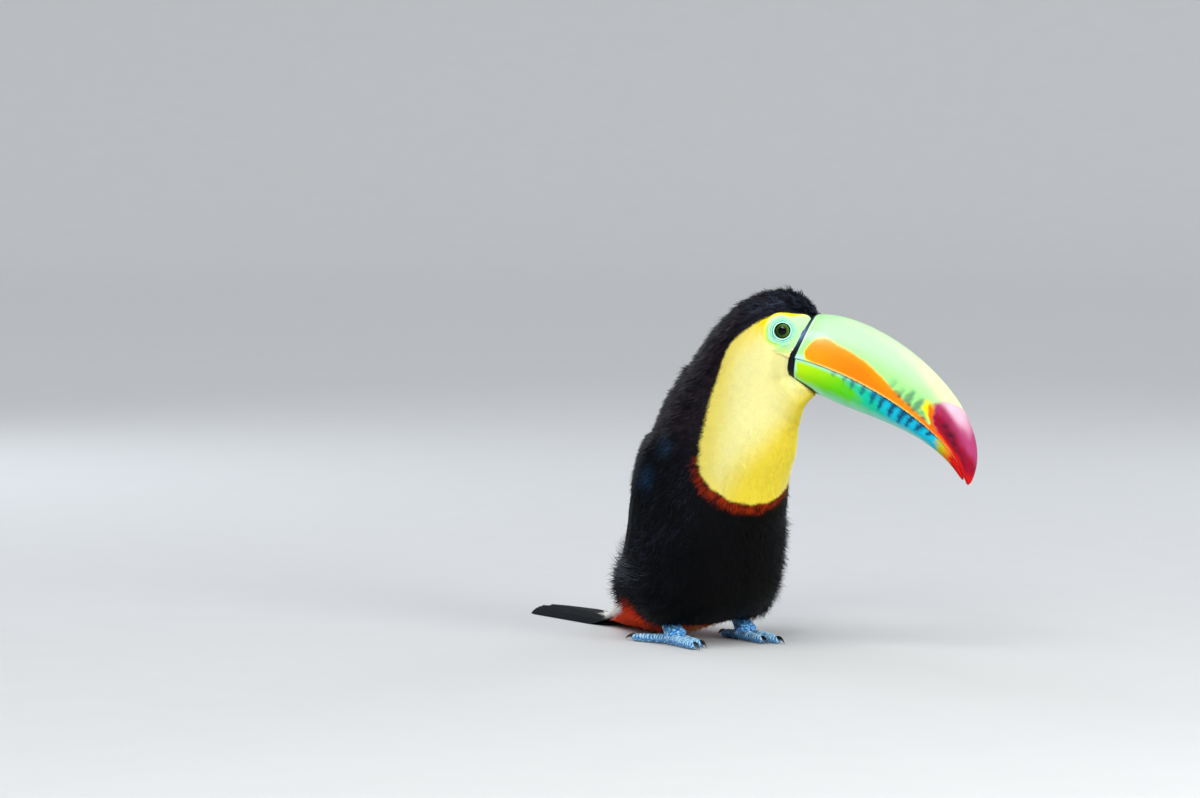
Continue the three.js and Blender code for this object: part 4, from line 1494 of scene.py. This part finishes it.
    def build(self) -> None:
        """Makes the upper half."""
        points, k, side = BILL.half(BILL.culmen, 1, 0.92, self.rows, self.columns)
        patch = facing(sheet_patch(points, wrap=True, caps=True, **self.masks(k, side)))
        make("bill_upper_horn", patch, self.finishes.upper_bill, ("bill_upper",))


@dataclass(frozen=True)
class LowerBill:
    """The lower half: lime to green, then turquoise and blue with dark ticks, and a red tip."""

    finishes: Finishes
    rows: int = 300
    columns: int = 120

    # How far down each dark tick reaches, from the rearmost on.
    TICKS = (0.16, 0.22, 0.28, 0.36, 0.46, 0.54, 0.62, 0.68, 0.66, 0.54, 0.38)

    LAYERS = (
        ("lime", "#b0da06"), ("teal", "#06b894"), ("blue", "#0ab0d0"), ("aqua", "#98e2d2"),
        ("tick", "#083c62"), ("olive", "#b4ae14"), ("orange", "#d9700c"), ("red", "#c40a0a"),
        ("band", "#0a0d14"),
    )

    def masks(self, k: Array, side: Array) -> Masks:
        """The markings at each way along (k) and down the side."""
        soft = waves(k * 140, side * 30, 12, 5)
        fine = waves(k * 140, side * 26, 4, 6)
        front = k + 0.14 * (0.4 - side) + 0.02 * soft
        low_rim = ramp(0.6, 0.96, side + 0.02 * soft) * ramp(0.86, 0.7, k) * 0.85
        near_edge = 0.9 * ramp(0.15, 0.02, side) * ramp(0.5, 0.25, k)
        # A painted highlight: a thin pale line beside the black band.
        rear = ramp(0.062, 0.04, k + 0.004 * soft) * 0.9
        tick = np.zeros_like(k)
        for number, deep in enumerate(self.TICKS):
            at = 0.248 + 0.0465 * number + 0.004 * math.sin(number * 2.1)
            slant = at - 0.03 * side + 0.05 * side**2 + 0.003 * fine
            taper = 1.4 - 0.8 * np.clip(side / deep, 0, 1)
            width = (0.0105 + 0.0004 * number) * (1 + 0.2 * math.sin(number * 3.7)) * taper
            strength = min(1, 0.55 + 0.08 * number)
            mark = bump(k, slant, width) * ramp(deep + 0.12, deep - 0.12, side + 0.04 * fine)
            tick = np.maximum(tick, strength * mark)
        tick = np.maximum(tick, 0.8 * ramp(0.13, 0.03, side + 0.03 * fine) * bump(k, 0.58, 0.16))
        tip = k + 0.06 * (0.4 - side) + 0.008 * soft + 0.004 * fine
        return {
            "lime": ramp(0.42, 0.06, k + 0.2 * side),
            "teal": ramp(0.3, 0.42, front),
            "blue": ramp(0.41, 0.54, front),
            # aqua is the pale rim's and edge's own colour, and by the band a painted highlight.
            "aqua": np.clip(np.maximum(np.maximum(low_rim, near_edge), rear), 0, 1),
            "tick": np.clip(tick, 0, 1),
            "olive": ramp(0.755, 0.795, tip),
            "orange": ramp(0.805, 0.845, tip) * 0.9,
            "red": ramp(0.845, 0.885, tip),
            "band": self.band(k, side + 0.008 * fine),
        }

    @staticmethod
    def band(k: Array, side: Array) -> Array:
        """1 on the black band, which runs on along the lower rim."""
        down = ramp(0.8, 0.84, side - 0.35 * ramp(0.1, 0.3, k)) * ramp(0.3, 0.22, k)
        return np.maximum(ramp(0.044, 0.04, k), down)

    def build(self) -> None:
        """Makes the lower half."""
        points, k, side = BILL.half(BILL.gonys, BILL.lower_share, 0.8, self.rows, self.columns)
        patch = facing(sheet_patch(points, wrap=True, caps=True, **self.masks(k, side)))
        make("bill_lower_horn", patch, self.finishes.lower_bill, ("bill_lower",))


# ---- eyes ----


@dataclass(frozen=True)
class EyeBall:
    """An eyeball with a dark pupil, a green iris and a black rim, set in the side of the head."""

    finishes: Finishes
    side: Side

    forward = -8.2
    up = 13.8
    aside = 13.3
    radius = 7.5
    iris = 3.95
    pupil = 2.5

    LAYERS = (("iris", "#3a7a1e"), ("moss", "#38300e"), ("rim", "#020404"), ("pupil", "#02030a"))

    def build(self) -> None:
        """Makes the ball: rings round the axis that looks aside, the iris's rings the closest."""
        angle = np.concatenate([np.linspace(0, 0.8, 48), np.linspace(0.82, math.pi, 22)])
        angle, turn = np.meshgrid(angle, np.linspace(0, TURN, 96, endpoint=False), indexing="ij")
        sign = self.side.value
        out, off = self.radius * np.cos(angle), self.radius * np.sin(angle)
        bulge = 0.45 * ramp(0.62, 0.25, angle)
        points = HEAD.point(self.forward + off * np.cos(turn), self.up + off * np.sin(turn),
                            sign * (self.aside + out + bulge))
        spokes = 0.5 + 0.5 * np.sin(turn * 37 + 2 * np.sin(turn * 11))
        masks = {
            "iris": ramp(self.iris + 0.35, self.iris - 0.2, off) * (0.75 + 0.25 * spokes),
            "moss": 0.9 * bump(off, self.pupil + 0.25, 0.6) * (angle < 1) * (0.7 + 0.3 * spokes),
            "rim": np.maximum(ramp(self.iris - 0.15, self.iris + 0.3, off), (angle > 0.9).astype(float)),
            "pupil": ramp(self.pupil + 0.12, self.pupil - 0.12, off) * (angle < 1),
        }
        patch = facing(sheet_patch(points, wrap=True, **masks))
        make("eyeball_" + self.side.word, patch, self.finishes.eye, ("eye_" + self.side.word,))


@dataclass(frozen=True)
class Orbit:
    """Bare skin round an eye: a lid rolled over the ball, rings of fine creases, and the lores."""

    finishes: Finishes
    side: Side
    lid: float = 4.5
    reach: float = 10.5  # how far the bare skin goes from the eye's middle
    ball_under: float = 7.3  # the radius within which the skin has to clear the ball
    rings: int = 80
    spokes: int = 180

    # The creases' darker teal is painted shade, and the pale line round the lid a painted highlight.
    LAYERS = (
        ("mint", "#9cdcb2"), ("lores", "#b0dca6"), ("turquoise", "#62c4b8"), ("crease", "#2a8f84"),
        ("lidline", "#e6faf2"), ("cream", "#edf58c"), ("yellow", "#f0e214"), ("leaf", "#9ccc1e"),
        ("lash", "#0a1614"),
    )

    def cheek(self) -> Callable[[Array, Array], Array]:
        """How far aside the feathers' surface is near the eye: a cubic fitted to the body's form there."""
        sign = self.side.value
        at, angle = np.meshgrid(np.linspace(0.2, 4.2, 120), np.linspace(0.5, 2.4, 120) * sign, indexing="ij")
        forward, up, aside = (v.ravel() for v in HEAD.local(FORM.place(at, angle)))
        x, y = forward - EyeBall.forward, up - EyeBall.up
        near = np.hypot(x, y) < 17

        def terms(p: Array, q: Array) -> Array:
            """The ten terms of a cubic in two unknowns."""
            third = [p**3, p * p * q, p * q * q, q**3]
            return np.stack([np.ones_like(p), p, q, p * p, p * q, q * q, *third], -1)

        fit, *_ = np.linalg.lstsq(terms(x[near], y[near]), np.abs(aside[near]), rcond=None)
        return lambda p, q: terms(p, q) @ fit

    def outer(self, turn: Array) -> Array:
        """The patch's radius each way: its reach, more towards the gape, cut short at the bill's base.

        Args:
            turn: The angle round the eye, from straight ahead and up.

        Returns:
            The radius at each angle.
        """
        free = self.reach + 5 * bump(turn, TURN - 1.05, 0.55) + 1.1 * ramp(0.2, 1, -np.cos(turn))
        free = free + 5.5 * bump(turn, 0.8, 0.42)
        radius = free
        for _ in range(6):
            front = BillForm.base_line(EyeBall.up + radius * np.sin(turn)) - EyeBall.forward + 1.3
            ahead = np.maximum(np.cos(turn), 0.05)
            radius = np.where(np.cos(turn) > 0.05, np.minimum(free, front / ahead), free)
        return radius

    def build(self) -> None:
        """Makes the patch on rings from the lid outwards.

        A ring's radius goes from the lid to the outer edge. Its height over the cheek is the lid's roll, a
        bell about the lid, plus creases, a cosine of the radius that fades outwards, and it dips under the
        feathers at its edge.
        """
        t, turn = tube_grid(self.rings, self.spokes)
        edge = self.outer(turn)
        radius = self.lid + (edge - self.lid) * t**1.1
        x, y = radius * np.cos(turn), radius * np.sin(turn)
        cheek = BILL.narrow(EyeBall.forward + x, EyeBall.up + y, self.cheek()(x, y), -0.1)
        swirl = waves(np.cos(turn) * 10, np.sin(turn) * 10, 9, 21)
        from_lid = radius - self.lid
        crease = np.cos((from_lid + 0.07 * swirl - 0.45) * TURN / 1.3)
        fade = ramp(4.6, 1.5, from_lid) * ramp(0.5, 1, from_lid)
        low = ramp(-0.6, 0.8, np.cos(turn - 4.1))
        bag = bump(from_lid + 0.3 * swirl, 4.6, 0.35) * ramp(0.2, 0.7, -np.sin(turn + 0.3))
        fold = 0.75 * bump(from_lid, 0.45, 0.55) + 0.13 * crease * fade - 0.35 * bag
        ball_depth = np.sqrt(np.maximum(EyeBall.radius**2 - radius**2, 0)) + EyeBall.aside
        dip = 1.6 * ramp(0.93, 1, t) * ramp(0.4, -0.1, np.cos(turn)) + 0.5 * ramp(0.9, 1, t)
        level = cheek + 0.1 + fold - dip
        over_ball = np.where(radius < self.ball_under, np.maximum(level, ball_depth + 0.2), level)
        aside = np.where(t < 0.02, np.minimum(level, ball_depth - 0.4), over_ball)
        rough = 0.05 * waves(x, y, 1.3, 31)
        points = HEAD.point(EyeBall.forward + x, EyeBall.up + y, self.side.value * (aside + rough))
        masks = {
            "mint": ramp(11.2, 7.2, radius + 0.5 * swirl) * 0.95,
            "lores": ramp(0.1, 0.6, np.cos(turn - 0.3)) * ramp(6, 8.5, radius) * 0.9,
            "turquoise": ramp(7, 5, radius + 0.4 * swirl) * 0.75,
            # Painted shade: the creases and the fold under the eye are darker, more so on the lower side.
            "crease": np.clip(0.8 * ramp(0.2, -0.9, crease) * fade * (0.45 + 0.55 * low) + 0.3 * bag, 0, 1),
            # A painted highlight along the rolled lid's rim.
            "lidline": bump(from_lid, 0.42, 0.2),
            "cream": ramp(edge - 3, edge - 0.8, radius + 0.4 * swirl)
            * ramp(0.5, -0.2, np.cos(turn + 0.3)),
            "yellow": ramp(edge - 2, edge - 1, radius + 0.2 * swirl)
            * ramp(-0.15, 0.35, np.sin(turn - 0.95)),
            "leaf": 0.85 * bump(radius + 0.3 * swirl, 9.2, 0.9) * ramp(0.35, 0.85, -np.sin(turn + 0.75)),
            "lash": ramp(self.lid + 0.22, self.lid + 0.08, radius),
        }
        patch = sheet_patch(points, wrap=True, **masks)
        _, _, axis = HEAD.axes()
        outward = np.broadcast_to(axis * self.side.value, patch.points.shape)
        make("orbit_" + self.side.word, facing(patch, outward), self.finishes.orbit)


# ---- legs ----


@dataclass(frozen=True)
class Toe:
    """One toe: heading in degrees from straight ahead, outwards, the root's shift outwards, and sizes."""

    name: str
    heading: float
    shift: float
    length: float
    half: float
    claw: float


@dataclass(frozen=True)
class FootForm:
    """A foot with two toes ahead and two behind, scuted above and padded below."""

    finishes: Finishes
    side: Side
    aside: float = 24.5
    back: float = 2
    joint_height: float = 6.6
    heel: Place = (0, 16, 17)
    shank: float = 4.6
    root_height: float = 3
    tip_height: float = 2.1
    plate: float = 2.1  # how long a scute is
    claw_overlap: float = 2.2
    claw_rise: float = 3.1
    toes: tuple[Toe, ...] = (
        Toe("inner_front", -1, -2.8, 26, 3.1, 8.5),
        Toe("outer_front", 3, 2.9, 31, 3.3, 9.5),
        Toe("outer_rear", 156, 2, 29, 3, 8.5),
        Toe("inner_rear", 190, -2, 18, 2.8, 7.5),
    )

    # The near-white crests are a painted highlight on the plates and scales.
    LAYERS = (("plate", "#58b2ec"), ("gleam", "#d4f2fd"), ("seam", "#0a4498"), ("sole", "#66727e"))

    def root(self, toe: Toe) -> Array:
        """Where a toe starts, on the floor."""
        return np.array([self.side.value * (self.aside + toe.shift), self.back, 0.0])

    def place(self, toe: Toe, along: Array, aside: Array, height: Array) -> Array:
        """The places that lie along a toe's own direction, aside of it and above the floor."""
        turn = math.radians(toe.heading)
        ahead = np.array([self.side.value * math.sin(turn), -math.cos(turn), 0.0])
        across = np.array([-ahead[1], ahead[0], 0.0])
        return self.root(toe) + ahead * along[..., None] + across * aside[..., None] + UP * height[..., None]

    def scutes(self, way: Array, turn: Array, count: int, top: Array) -> tuple[Array, Masks]:
        """The relief and colours of the scutes: plates across the top, and small scales down the sides.

        A plate swells by sin(pi * phase)^0.7, phase going from 0 to 1 along it; a side scale by the product
        of two cosines, each row half a scale on from the last.

        Args:
            way: The way along, 0 to 1.
            turn: The angle round the tube.
            count: The number of plates.
            top: 1 on the top, 0 on the sides.

        Returns:
            The relief in millimetres and the colour masks.
        """
        wander = 0.22 * np.sin(turn * 2 + way * 19) + 0.12 * np.sin(way * 53 + turn)
        crest = np.sin(np.pi * ((way * count + wander) % 1))
        scale = 0.5 + 0.5 * np.cos(way * count * TURN) * np.cos(turn * 9 + np.pi * np.floor(way * count))
        relief = 0.45 * crest**0.7 * top + 0.25 * scale * (1 - top)
        masks = {
            "plate": np.maximum(ramp(0.25, 0.7, crest) * top, ramp(0.4, 0.8, scale) * (1 - top)),
            # A painted highlight on each plate's crest and each scale's middle.
            "gleam": np.maximum(ramp(0.7, 0.97, crest) * top, 0.6 * ramp(0.75, 1, scale) * (1 - top)),
            "seam": np.maximum(ramp(0.38, 0.1, crest) * top, ramp(0.35, 0.1, scale) * (1 - top) * 0.8),
        }
        return relief, masks

    def toe(self, toe: Toe) -> Patch:
        """A toe: a tube that swells at each joint, its underside cut flat by the floor."""
        t, turn = tube_grid(170, 44)
        swell = 1 + 0.07 * np.cos(6 * math.pi * t)
        close = np.sqrt(np.maximum(0.03, 1 - np.clip((t - 0.86) / 0.14, 0, 1) ** 2))
        top = ramp(-0.15, 0.45, np.sin(turn))
        relief, masks = self.scutes(t, turn, round(toe.length / self.plate), top)
        half = toe.half * (1 - 0.26 * t) * swell * close - 0.15 + relief * ramp(1, 0.95, t)
        height = self.root_height + (self.tip_height - self.root_height) * t
        z = np.maximum(height + half * 1.02 * np.sin(turn), 0.02)
        points = self.place(toe, toe.length * t, half * np.cos(turn), z)
        sole = ramp(-0.35, -0.75, np.sin(turn))
        return facing(sheet_patch(points, wrap=True, caps=True, **masks, sole=sole))

    def shank_patch(self) -> Patch:
        """The shank and the ball at its foot: a tube with rings of plates in front."""
        t, turn = tube_grid(130, 60)
        start = np.array([self.side.value * self.aside, self.back, self.joint_height - 0.6])
        run = np.array(self.heel) * 1.15
        front = ramp(-0.3, 0.35, -np.sin(turn))
        relief, masks = self.scutes(t, turn, 12, front)
        ball = 2 * ramp(0.36, 0, t)
        half = (self.shank + ball + relief) * np.sqrt(np.clip(t * 7 + 0.12, 0, 1))
        across = np.array([1.0, 0.0, 0.0])
        points = (start - unit(run) * self.shank + run * t[..., None] * 1.1
                  + across * (half * 1.12 * np.cos(turn))[..., None]
                  - unit(np.cross(run, across)) * (half * np.sin(turn))[..., None])
        points[..., 2] = np.maximum(points[..., 2], 0.3)
        return facing(sheet_patch(points, wrap=True, caps=True, **masks, sole=0 * t))

    def claw(self, toe: Toe) -> Patch:
        """A claw: a tapering hook that bends down from the toe's tip, with a ridge along its top."""
        t, turn = tube_grid(40, 28)
        bend = np.radians(-18 + 80 * t)
        reach = toe.claw * (t - 0.18 * t * t)
        height = self.claw_rise + toe.claw * (0.3 * t - 0.53 * t * t)
        taper = 1 - 0.9 * t**1.2
        up = 1.7 * taper * np.sin(turn)
        points = self.place(toe, toe.length - self.claw_overlap + reach + up * np.sin(bend),
                            1.2 * taper * signed_power(np.cos(turn), 1.15), height + up * np.cos(bend))
        return facing(sheet_patch(points, wrap=True, caps=True, worn=ramp(0.3, 0, t) * 0.7))

    def build(self) -> None:
        """Makes the foot and its four claws."""
        word = self.side.word
        foot = Patch.join([self.shank_patch()] + [self.toe(t) for t in self.toes])
        make("foot_skin_" + word, foot, self.finishes.foot, ("foot_" + word,))
        for toe in self.toes:
            end = f"{word}_{toe.name}"
            make("claw_horn_" + end, self.claw(toe), self.finishes.claw, ("claw_" + end,))


# ---- wings and tail ----


@dataclass(frozen=True)
class Row:
    """One row of a wing's feathers across it: where it starts along the wing, and its feathers' sizes."""

    start: float
    reach: float
    half: float
    count: int
    height: float


@dataclass(frozen=True)
class WingForm:
    """A folded wing over the trunk, from shoulder (0) to tip (1) and from upper (0) to lower (1) edge."""

    finishes: Finishes
    side: Side
    along: Pair = (8.15, 15.8)
    upper: tuple[float, ...] = (52, 26, 17, 13, 11, 11, 14, 22)
    lower: tuple[float, ...] = (64, 92, 104, 108, 106, 98, 84, 58)
    clear: float = 0.9
    thick: float = 3.4
    tip_lift: float = 2.6
    sink: float = 2.2  # how far the front and lower edges lie under the body's own feathers
    coverts: tuple[Row, ...] = (
        Row(0.25, 0.24, 6.4, 9, 0.7),
        Row(0.18, 0.19, 5.4, 10, 1),
        Row(0.115, 0.15, 4.6, 11, 1.25),
        Row(0.06, 0.12, 4, 11, 1.45),
        Row(0.015, 0.1, 3.4, 10, 1.6),
    )

    def shape(self, way: Array, share: Array) -> Array:
        """The face that the wing's feathers lie on.

        It is the outer face of the folded wing, less the feathers' own depth. Towards the shoulder and the
        edges it sinks into the body's plumage, but the tip stands free.
        """
        at = self.along[0] + (self.along[1] - self.along[0]) * way
        steps = way * (len(self.upper) - 1)
        low, high = through(np.array(self.upper), steps), through(np.array(self.lower), steps)
        angle = np.radians(low + (high - low) * share) * self.side.value
        crown = 1 - np.clip(np.abs(2 * share - 1), 0, 1) ** 4
        body = (1 - 0.55 * way) * np.sin(np.pi * np.minimum(1, way + 0.12)) ** 0.4
        free = self.clear + self.tip_lift * way**3 + self.thick * crown * body - 1.2
        inner = ramp(0, 0.3, share) * ramp(1, 0.62, share) * ramp(0, 0.12, way)
        inner = np.maximum(inner, ramp(0.62, 0.9, way))
        return FORM.place(at, angle, -self.sink + (free + self.sink) * inner)

    @staticmethod
    def lines(number: Array, *ends: Pair) -> Array:
        """One column for each pair: its first value, plus its second times number."""
        return np.stack([first + change * number for first, change in ends], 1)

    def build(self) -> None:
        """Makes the wing's lining, its flight feathers, its coverts and the loose barbs over them."""
        axis = FORM.place(11, 0) * 0.5 + FORM.place(11, np.pi) * 0.5
        ground = Ground.of(self.shape, (0, 1), (-0.06, 1.06), 200, 120, inside=axis)
        word = self.side.word
        vanes = Vanes(rows=22)
        number = np.linspace(0, 1, 10)
        secondaries = vanes.lay(ground, self.lines(number, (0.28, 0.1), (0.93, -0.82)),
                                self.lines(number, (0.79, 0.08), (0.64, -0.52)),
                                np.full(10, 6.6), 0.1 + 0.9 * number, 0.3 + 0.4 * number)
        number = np.linspace(0, 1, 7)
        primaries = vanes.lay(ground, self.lines(number, (0.46, 0), (0.94, -0.32)),
                              self.lines(number, (0.84, 0.15), (0.82, -0.44)),
                              np.full(7, 5.4), 0.25 * number, 0.2 + 0.2 * number)
        patches = [primaries, secondaries]
        for order, row in enumerate(self.coverts):
            number = (np.arange(row.count) + 0.5 * (order % 2)) / row.count
            patches.append(Vanes(rows=12, shaft=0.2).lay(
                ground, self.lines(number, (row.start, 0.02), (1.02, -0.98)),
                self.lines(number, (row.start + row.reach, 0.03), (0.97, -0.93)),
                np.full(row.count, row.half), row.height + 0.3 * number, np.full(row.count, 0.35)))
        feathers = Patch.join(patches)
        # The painted blue sheen at the shoulders.
        feathers.attributes["blue"] = 0.8 * MARKS.gloss(feathers.points)
        make("wing_feathers_" + word, feathers, self.finishes.vane, ("wing_" + word,))
        s, a = np.meshgrid(np.linspace(0, 0.96, 60), np.linspace(0, 1, 30), indexing="ij")
        outer, normals = ground.read(s, 0.5 + (a - 0.5) * (1 - 0.85 * ramp(0.8, 0.98, s)))
        lining = sheet_patch(outer - normals * 0.3, tone=0.3 + 0 * s)
        lining = facing(lining, normals.reshape(-1, 3))
        make("wing_lining_" + word, lining, self.finishes.vane)
        scapulars = Tufts(
            lambda t, q: 0.9 * ramp(0.3, 0.05, t) + 0.6 * ramp(0.28, 0.05, q) * (t < 0.7),
            lambda t, q: 7 + 5 * t, 1.1, lambda t, q: 3.2 - 1.4 * t, fan=0.25, stray=0.2)
        loose = Tufts(
            lambda t, q: 0.06 * ramp(0.42, 0.52, t) * ramp(0.86, 0.74, t) * ramp(0.35, 0.6, q),
            lambda t, q: 23 + 0 * t, 0.34, lambda t, q: 5 + 0 * t, fan=0.12, spread=0.7, sway=0.06,
            arc=0.13, stray=0.35, curve=1.5, stagger=0.35, lean=lambda t, q: -1.05 + 0 * t)
        # The loose barbs get a painted silver-grey sheen; the scapulars get none.
        for name, tufts, silver in (("scapulars_", scapulars, 0), ("loose_barbs_", loose, 0.75)):
            patch = tufts.grow(ground, lambda t, q, k: {"silver": silver + 0 * t}, 400 + self.side.value)
            make(name + word, patch, self.finishes.contour)


@dataclass(frozen=True)
class TailForm:
    """The closed tail: ten long feathers laid over each other, sloping from the rump to the floor."""

    finishes: Finishes
    root: float = 66
    tip: float = TAIL_LENGTH_FROM_FEET
    root_height: float = 15.5
    floor_from: float = 118

    def shape(self, way: Array, across: Array) -> Array:
        """The sheet that the feathers lie on: along the tail by way, and across in millimetres."""
        y = self.root + (self.tip - self.root) * way
        fall = np.clip((self.floor_from - y) / (self.floor_from - self.root), 0, 1)
        return np.stack([across + 0 * y, y, self.root_height * fall**1.6 + 0.3 + 0 * across], -1)

    def build(self) -> None:
        """Makes the ten feathers: the middle pair on top and longest, each outer pair lower and shorter."""
        below = np.array([0.0, 120.0, -400.0])
        ground = Ground.of(self.shape, (0, 1), (-30, 30), 120, 60, inside=below)
        order = np.array([4, 3, 2, 1, 0], float)
        patches = []
        for sign in (-1, 1):
            start = np.stack([np.zeros(5), sign * (1.5 + 1.9 * order)], 1)
            end = np.stack([0.985 - 0.012 * order**1.5, sign * (3.2 + 3.6 * order)], 1)
            height = 0.25 + 0.42 * (4 - order) + (0.2 if sign > 0 else 0)
            patches.append(Vanes(rows=60, columns=11, tip=0.9, camber=0.05, barb_step=1.1).lay(
                ground, start, end, 7.2 - 0.1 * order, height, 0 * order))
        make("tail_feathers", Patch.join(patches), self.finishes.vane, ("tail",))


# ---- stage ----


@dataclass(frozen=True)
class Lamp:
    """A round soft light: its place right of, above and towards the camera from the feet, in metres."""

    name: str
    right: float
    above: float
    toward: float
    size: float
    power: float
    tint: str


@dataclass(frozen=True)
class Studio:
    """A pale floor that curves up into a backdrop, soft light from above left, and the camera."""

    azimuth: float = math.radians(-30)
    elevation: float = math.radians(4)
    distance: float = 2.68
    left_of_feet: float = 0.0667
    above_feet: float = 0.1447
    lens: float = 135
    lamps: tuple[Lamp, ...] = (
        Lamp("key", -0.35, 1.1, 1.8, 0.9, 17, "#fffaf2"),
        Lamp("fill", 1.2, 0.4, 1.3, 1, 25, "#fffdfa"),
        Lamp("catch_light", -0.65, 1.15, 1.5, 0.6, 60, "#a8c8ff"),
        Lamp("rim", -1, 0.9, -1.3, 0.7, 6, "#f2f7ff"),
        Lamp("far_rim", 1.2, 0.9, -1.2, 0.6, 4, "#f2f7ff"),
    )
    sun: float = 1.4
    ambient: float = 0.5

    def axes(self) -> tuple[Vector, Vector, Vector]:
        """Towards the camera, the picture's right and the picture's up."""
        toward = Vector((math.sin(self.azimuth) * math.cos(self.elevation),
                         -math.cos(self.azimuth) * math.cos(self.elevation), math.sin(self.elevation)))
        right = Vector((math.cos(self.azimuth), math.sin(self.azimuth), 0))
        return toward, right, toward.cross(right)

    @staticmethod
    def put(name: str, data: object, place: Vector, aim: Vector) -> bpy.types.Object:
        """Puts a camera or light into the scene, looking at a place."""
        thing = bpy.data.objects.new(name, data)
        thing.location = place
        thing.rotation_mode = "QUATERNION"
        thing.rotation_quaternion = (aim - place).to_track_quat("-Z", "Y")
        bpy.context.scene.collection.objects.link(thing)
        return thing

    def build(self) -> None:
        """Makes the floor, lights and camera."""
        toward, right, up = self.axes()
        feet = Vector(FEET * MM)
        aim = feet - right * self.left_of_feet + up * self.above_feet
        camera = bpy.data.cameras.new("camera")
        camera.lens, camera.sensor_width, camera.clip_end = self.lens, 36, 50
        bpy.context.scene.camera = self.put("camera", camera, aim + toward * self.distance, aim)
        self._floor()
        body = feet + Vector((0, 0, 0.12))
        for lamp in self.lamps:
            light = bpy.data.lights.new(lamp.name, "AREA")
            light.shape, light.size, light.energy = "DISK", lamp.size, lamp.power
            light.color = linear(lamp.tint)[:3]
            place = feet + right * lamp.right + Vector((0, 0, lamp.above)) + toward * lamp.toward
            lit = self.put(lamp.name, light, place, body)
            lit.visible_glossy, lit.visible_diffuse = lamp.name != "fill", lamp.name != "catch_light"
        sun = bpy.data.lights.new("overhead", "SUN")
        sun.angle, sun.energy = math.radians(40), self.sun
        self.put("overhead", sun, feet + Vector((0, 0, 3)) - right + toward * 1.2, body)
        world = bpy.data.worlds.new("studio")
        world.use_nodes = True
        sky = world.node_tree.nodes["Background"].inputs
        sky["Color"].default_value, sky["Strength"].default_value = linear("#eef2f6"), self.ambient
        bpy.context.scene.world = world
        bpy.context.scene.view_settings.view_transform = "Standard"

    @staticmethod
    def _floor() -> None:
        """The floor: a disc that turns up at its rim, by a quarter circle, into a wall all round."""
        flat, bend, wall = 5000, 3000, 2000
        path, turn = tube_grid(80, 96, flat + bend * math.pi / 2 + wall)
        curve = np.clip((path - flat) / bend, 0, math.pi / 2)
        radius = np.minimum(path, flat) + bend * np.sin(curve)
        height = bend * (1 - np.cos(curve)) + np.clip(path - flat - bend * math.pi / 2, 0, None)
        points = np.stack([radius * np.cos(turn), radius * np.sin(turn), height], -1)
        patch = facing(sheet_patch(points, wrap=True), np.broadcast_to(UP, (path.size, 3)))
        # Matt studio paint: an even pale grey with no gloss.
        paint = Finish("matt_studio_paint", "#c9cbcd", roughness=0.9, specular=0.1, grain=(40, 0.01))
        put_mesh("floor", patch, paint.material())


def main() -> None:
    """Builds the bird and its studio."""
    logging.basicConfig(level=logging.INFO, format="%(name)s: %(message)s")
    Studio().build()
    finishes = Finishes()
    plumage = Plumage(finishes)
    plumage.build_skin()
    plumage.build_coat()
    UpperBill(finishes).build()
    LowerBill(finishes).build()
    for side in Side:
        EyeBall(finishes, side).build()
        Orbit(finishes, side).build()
        FootForm(finishes, side).build()
        WingForm(finishes, side).build()
    TailForm(finishes).build()


if __name__ == "__main__":
    main()
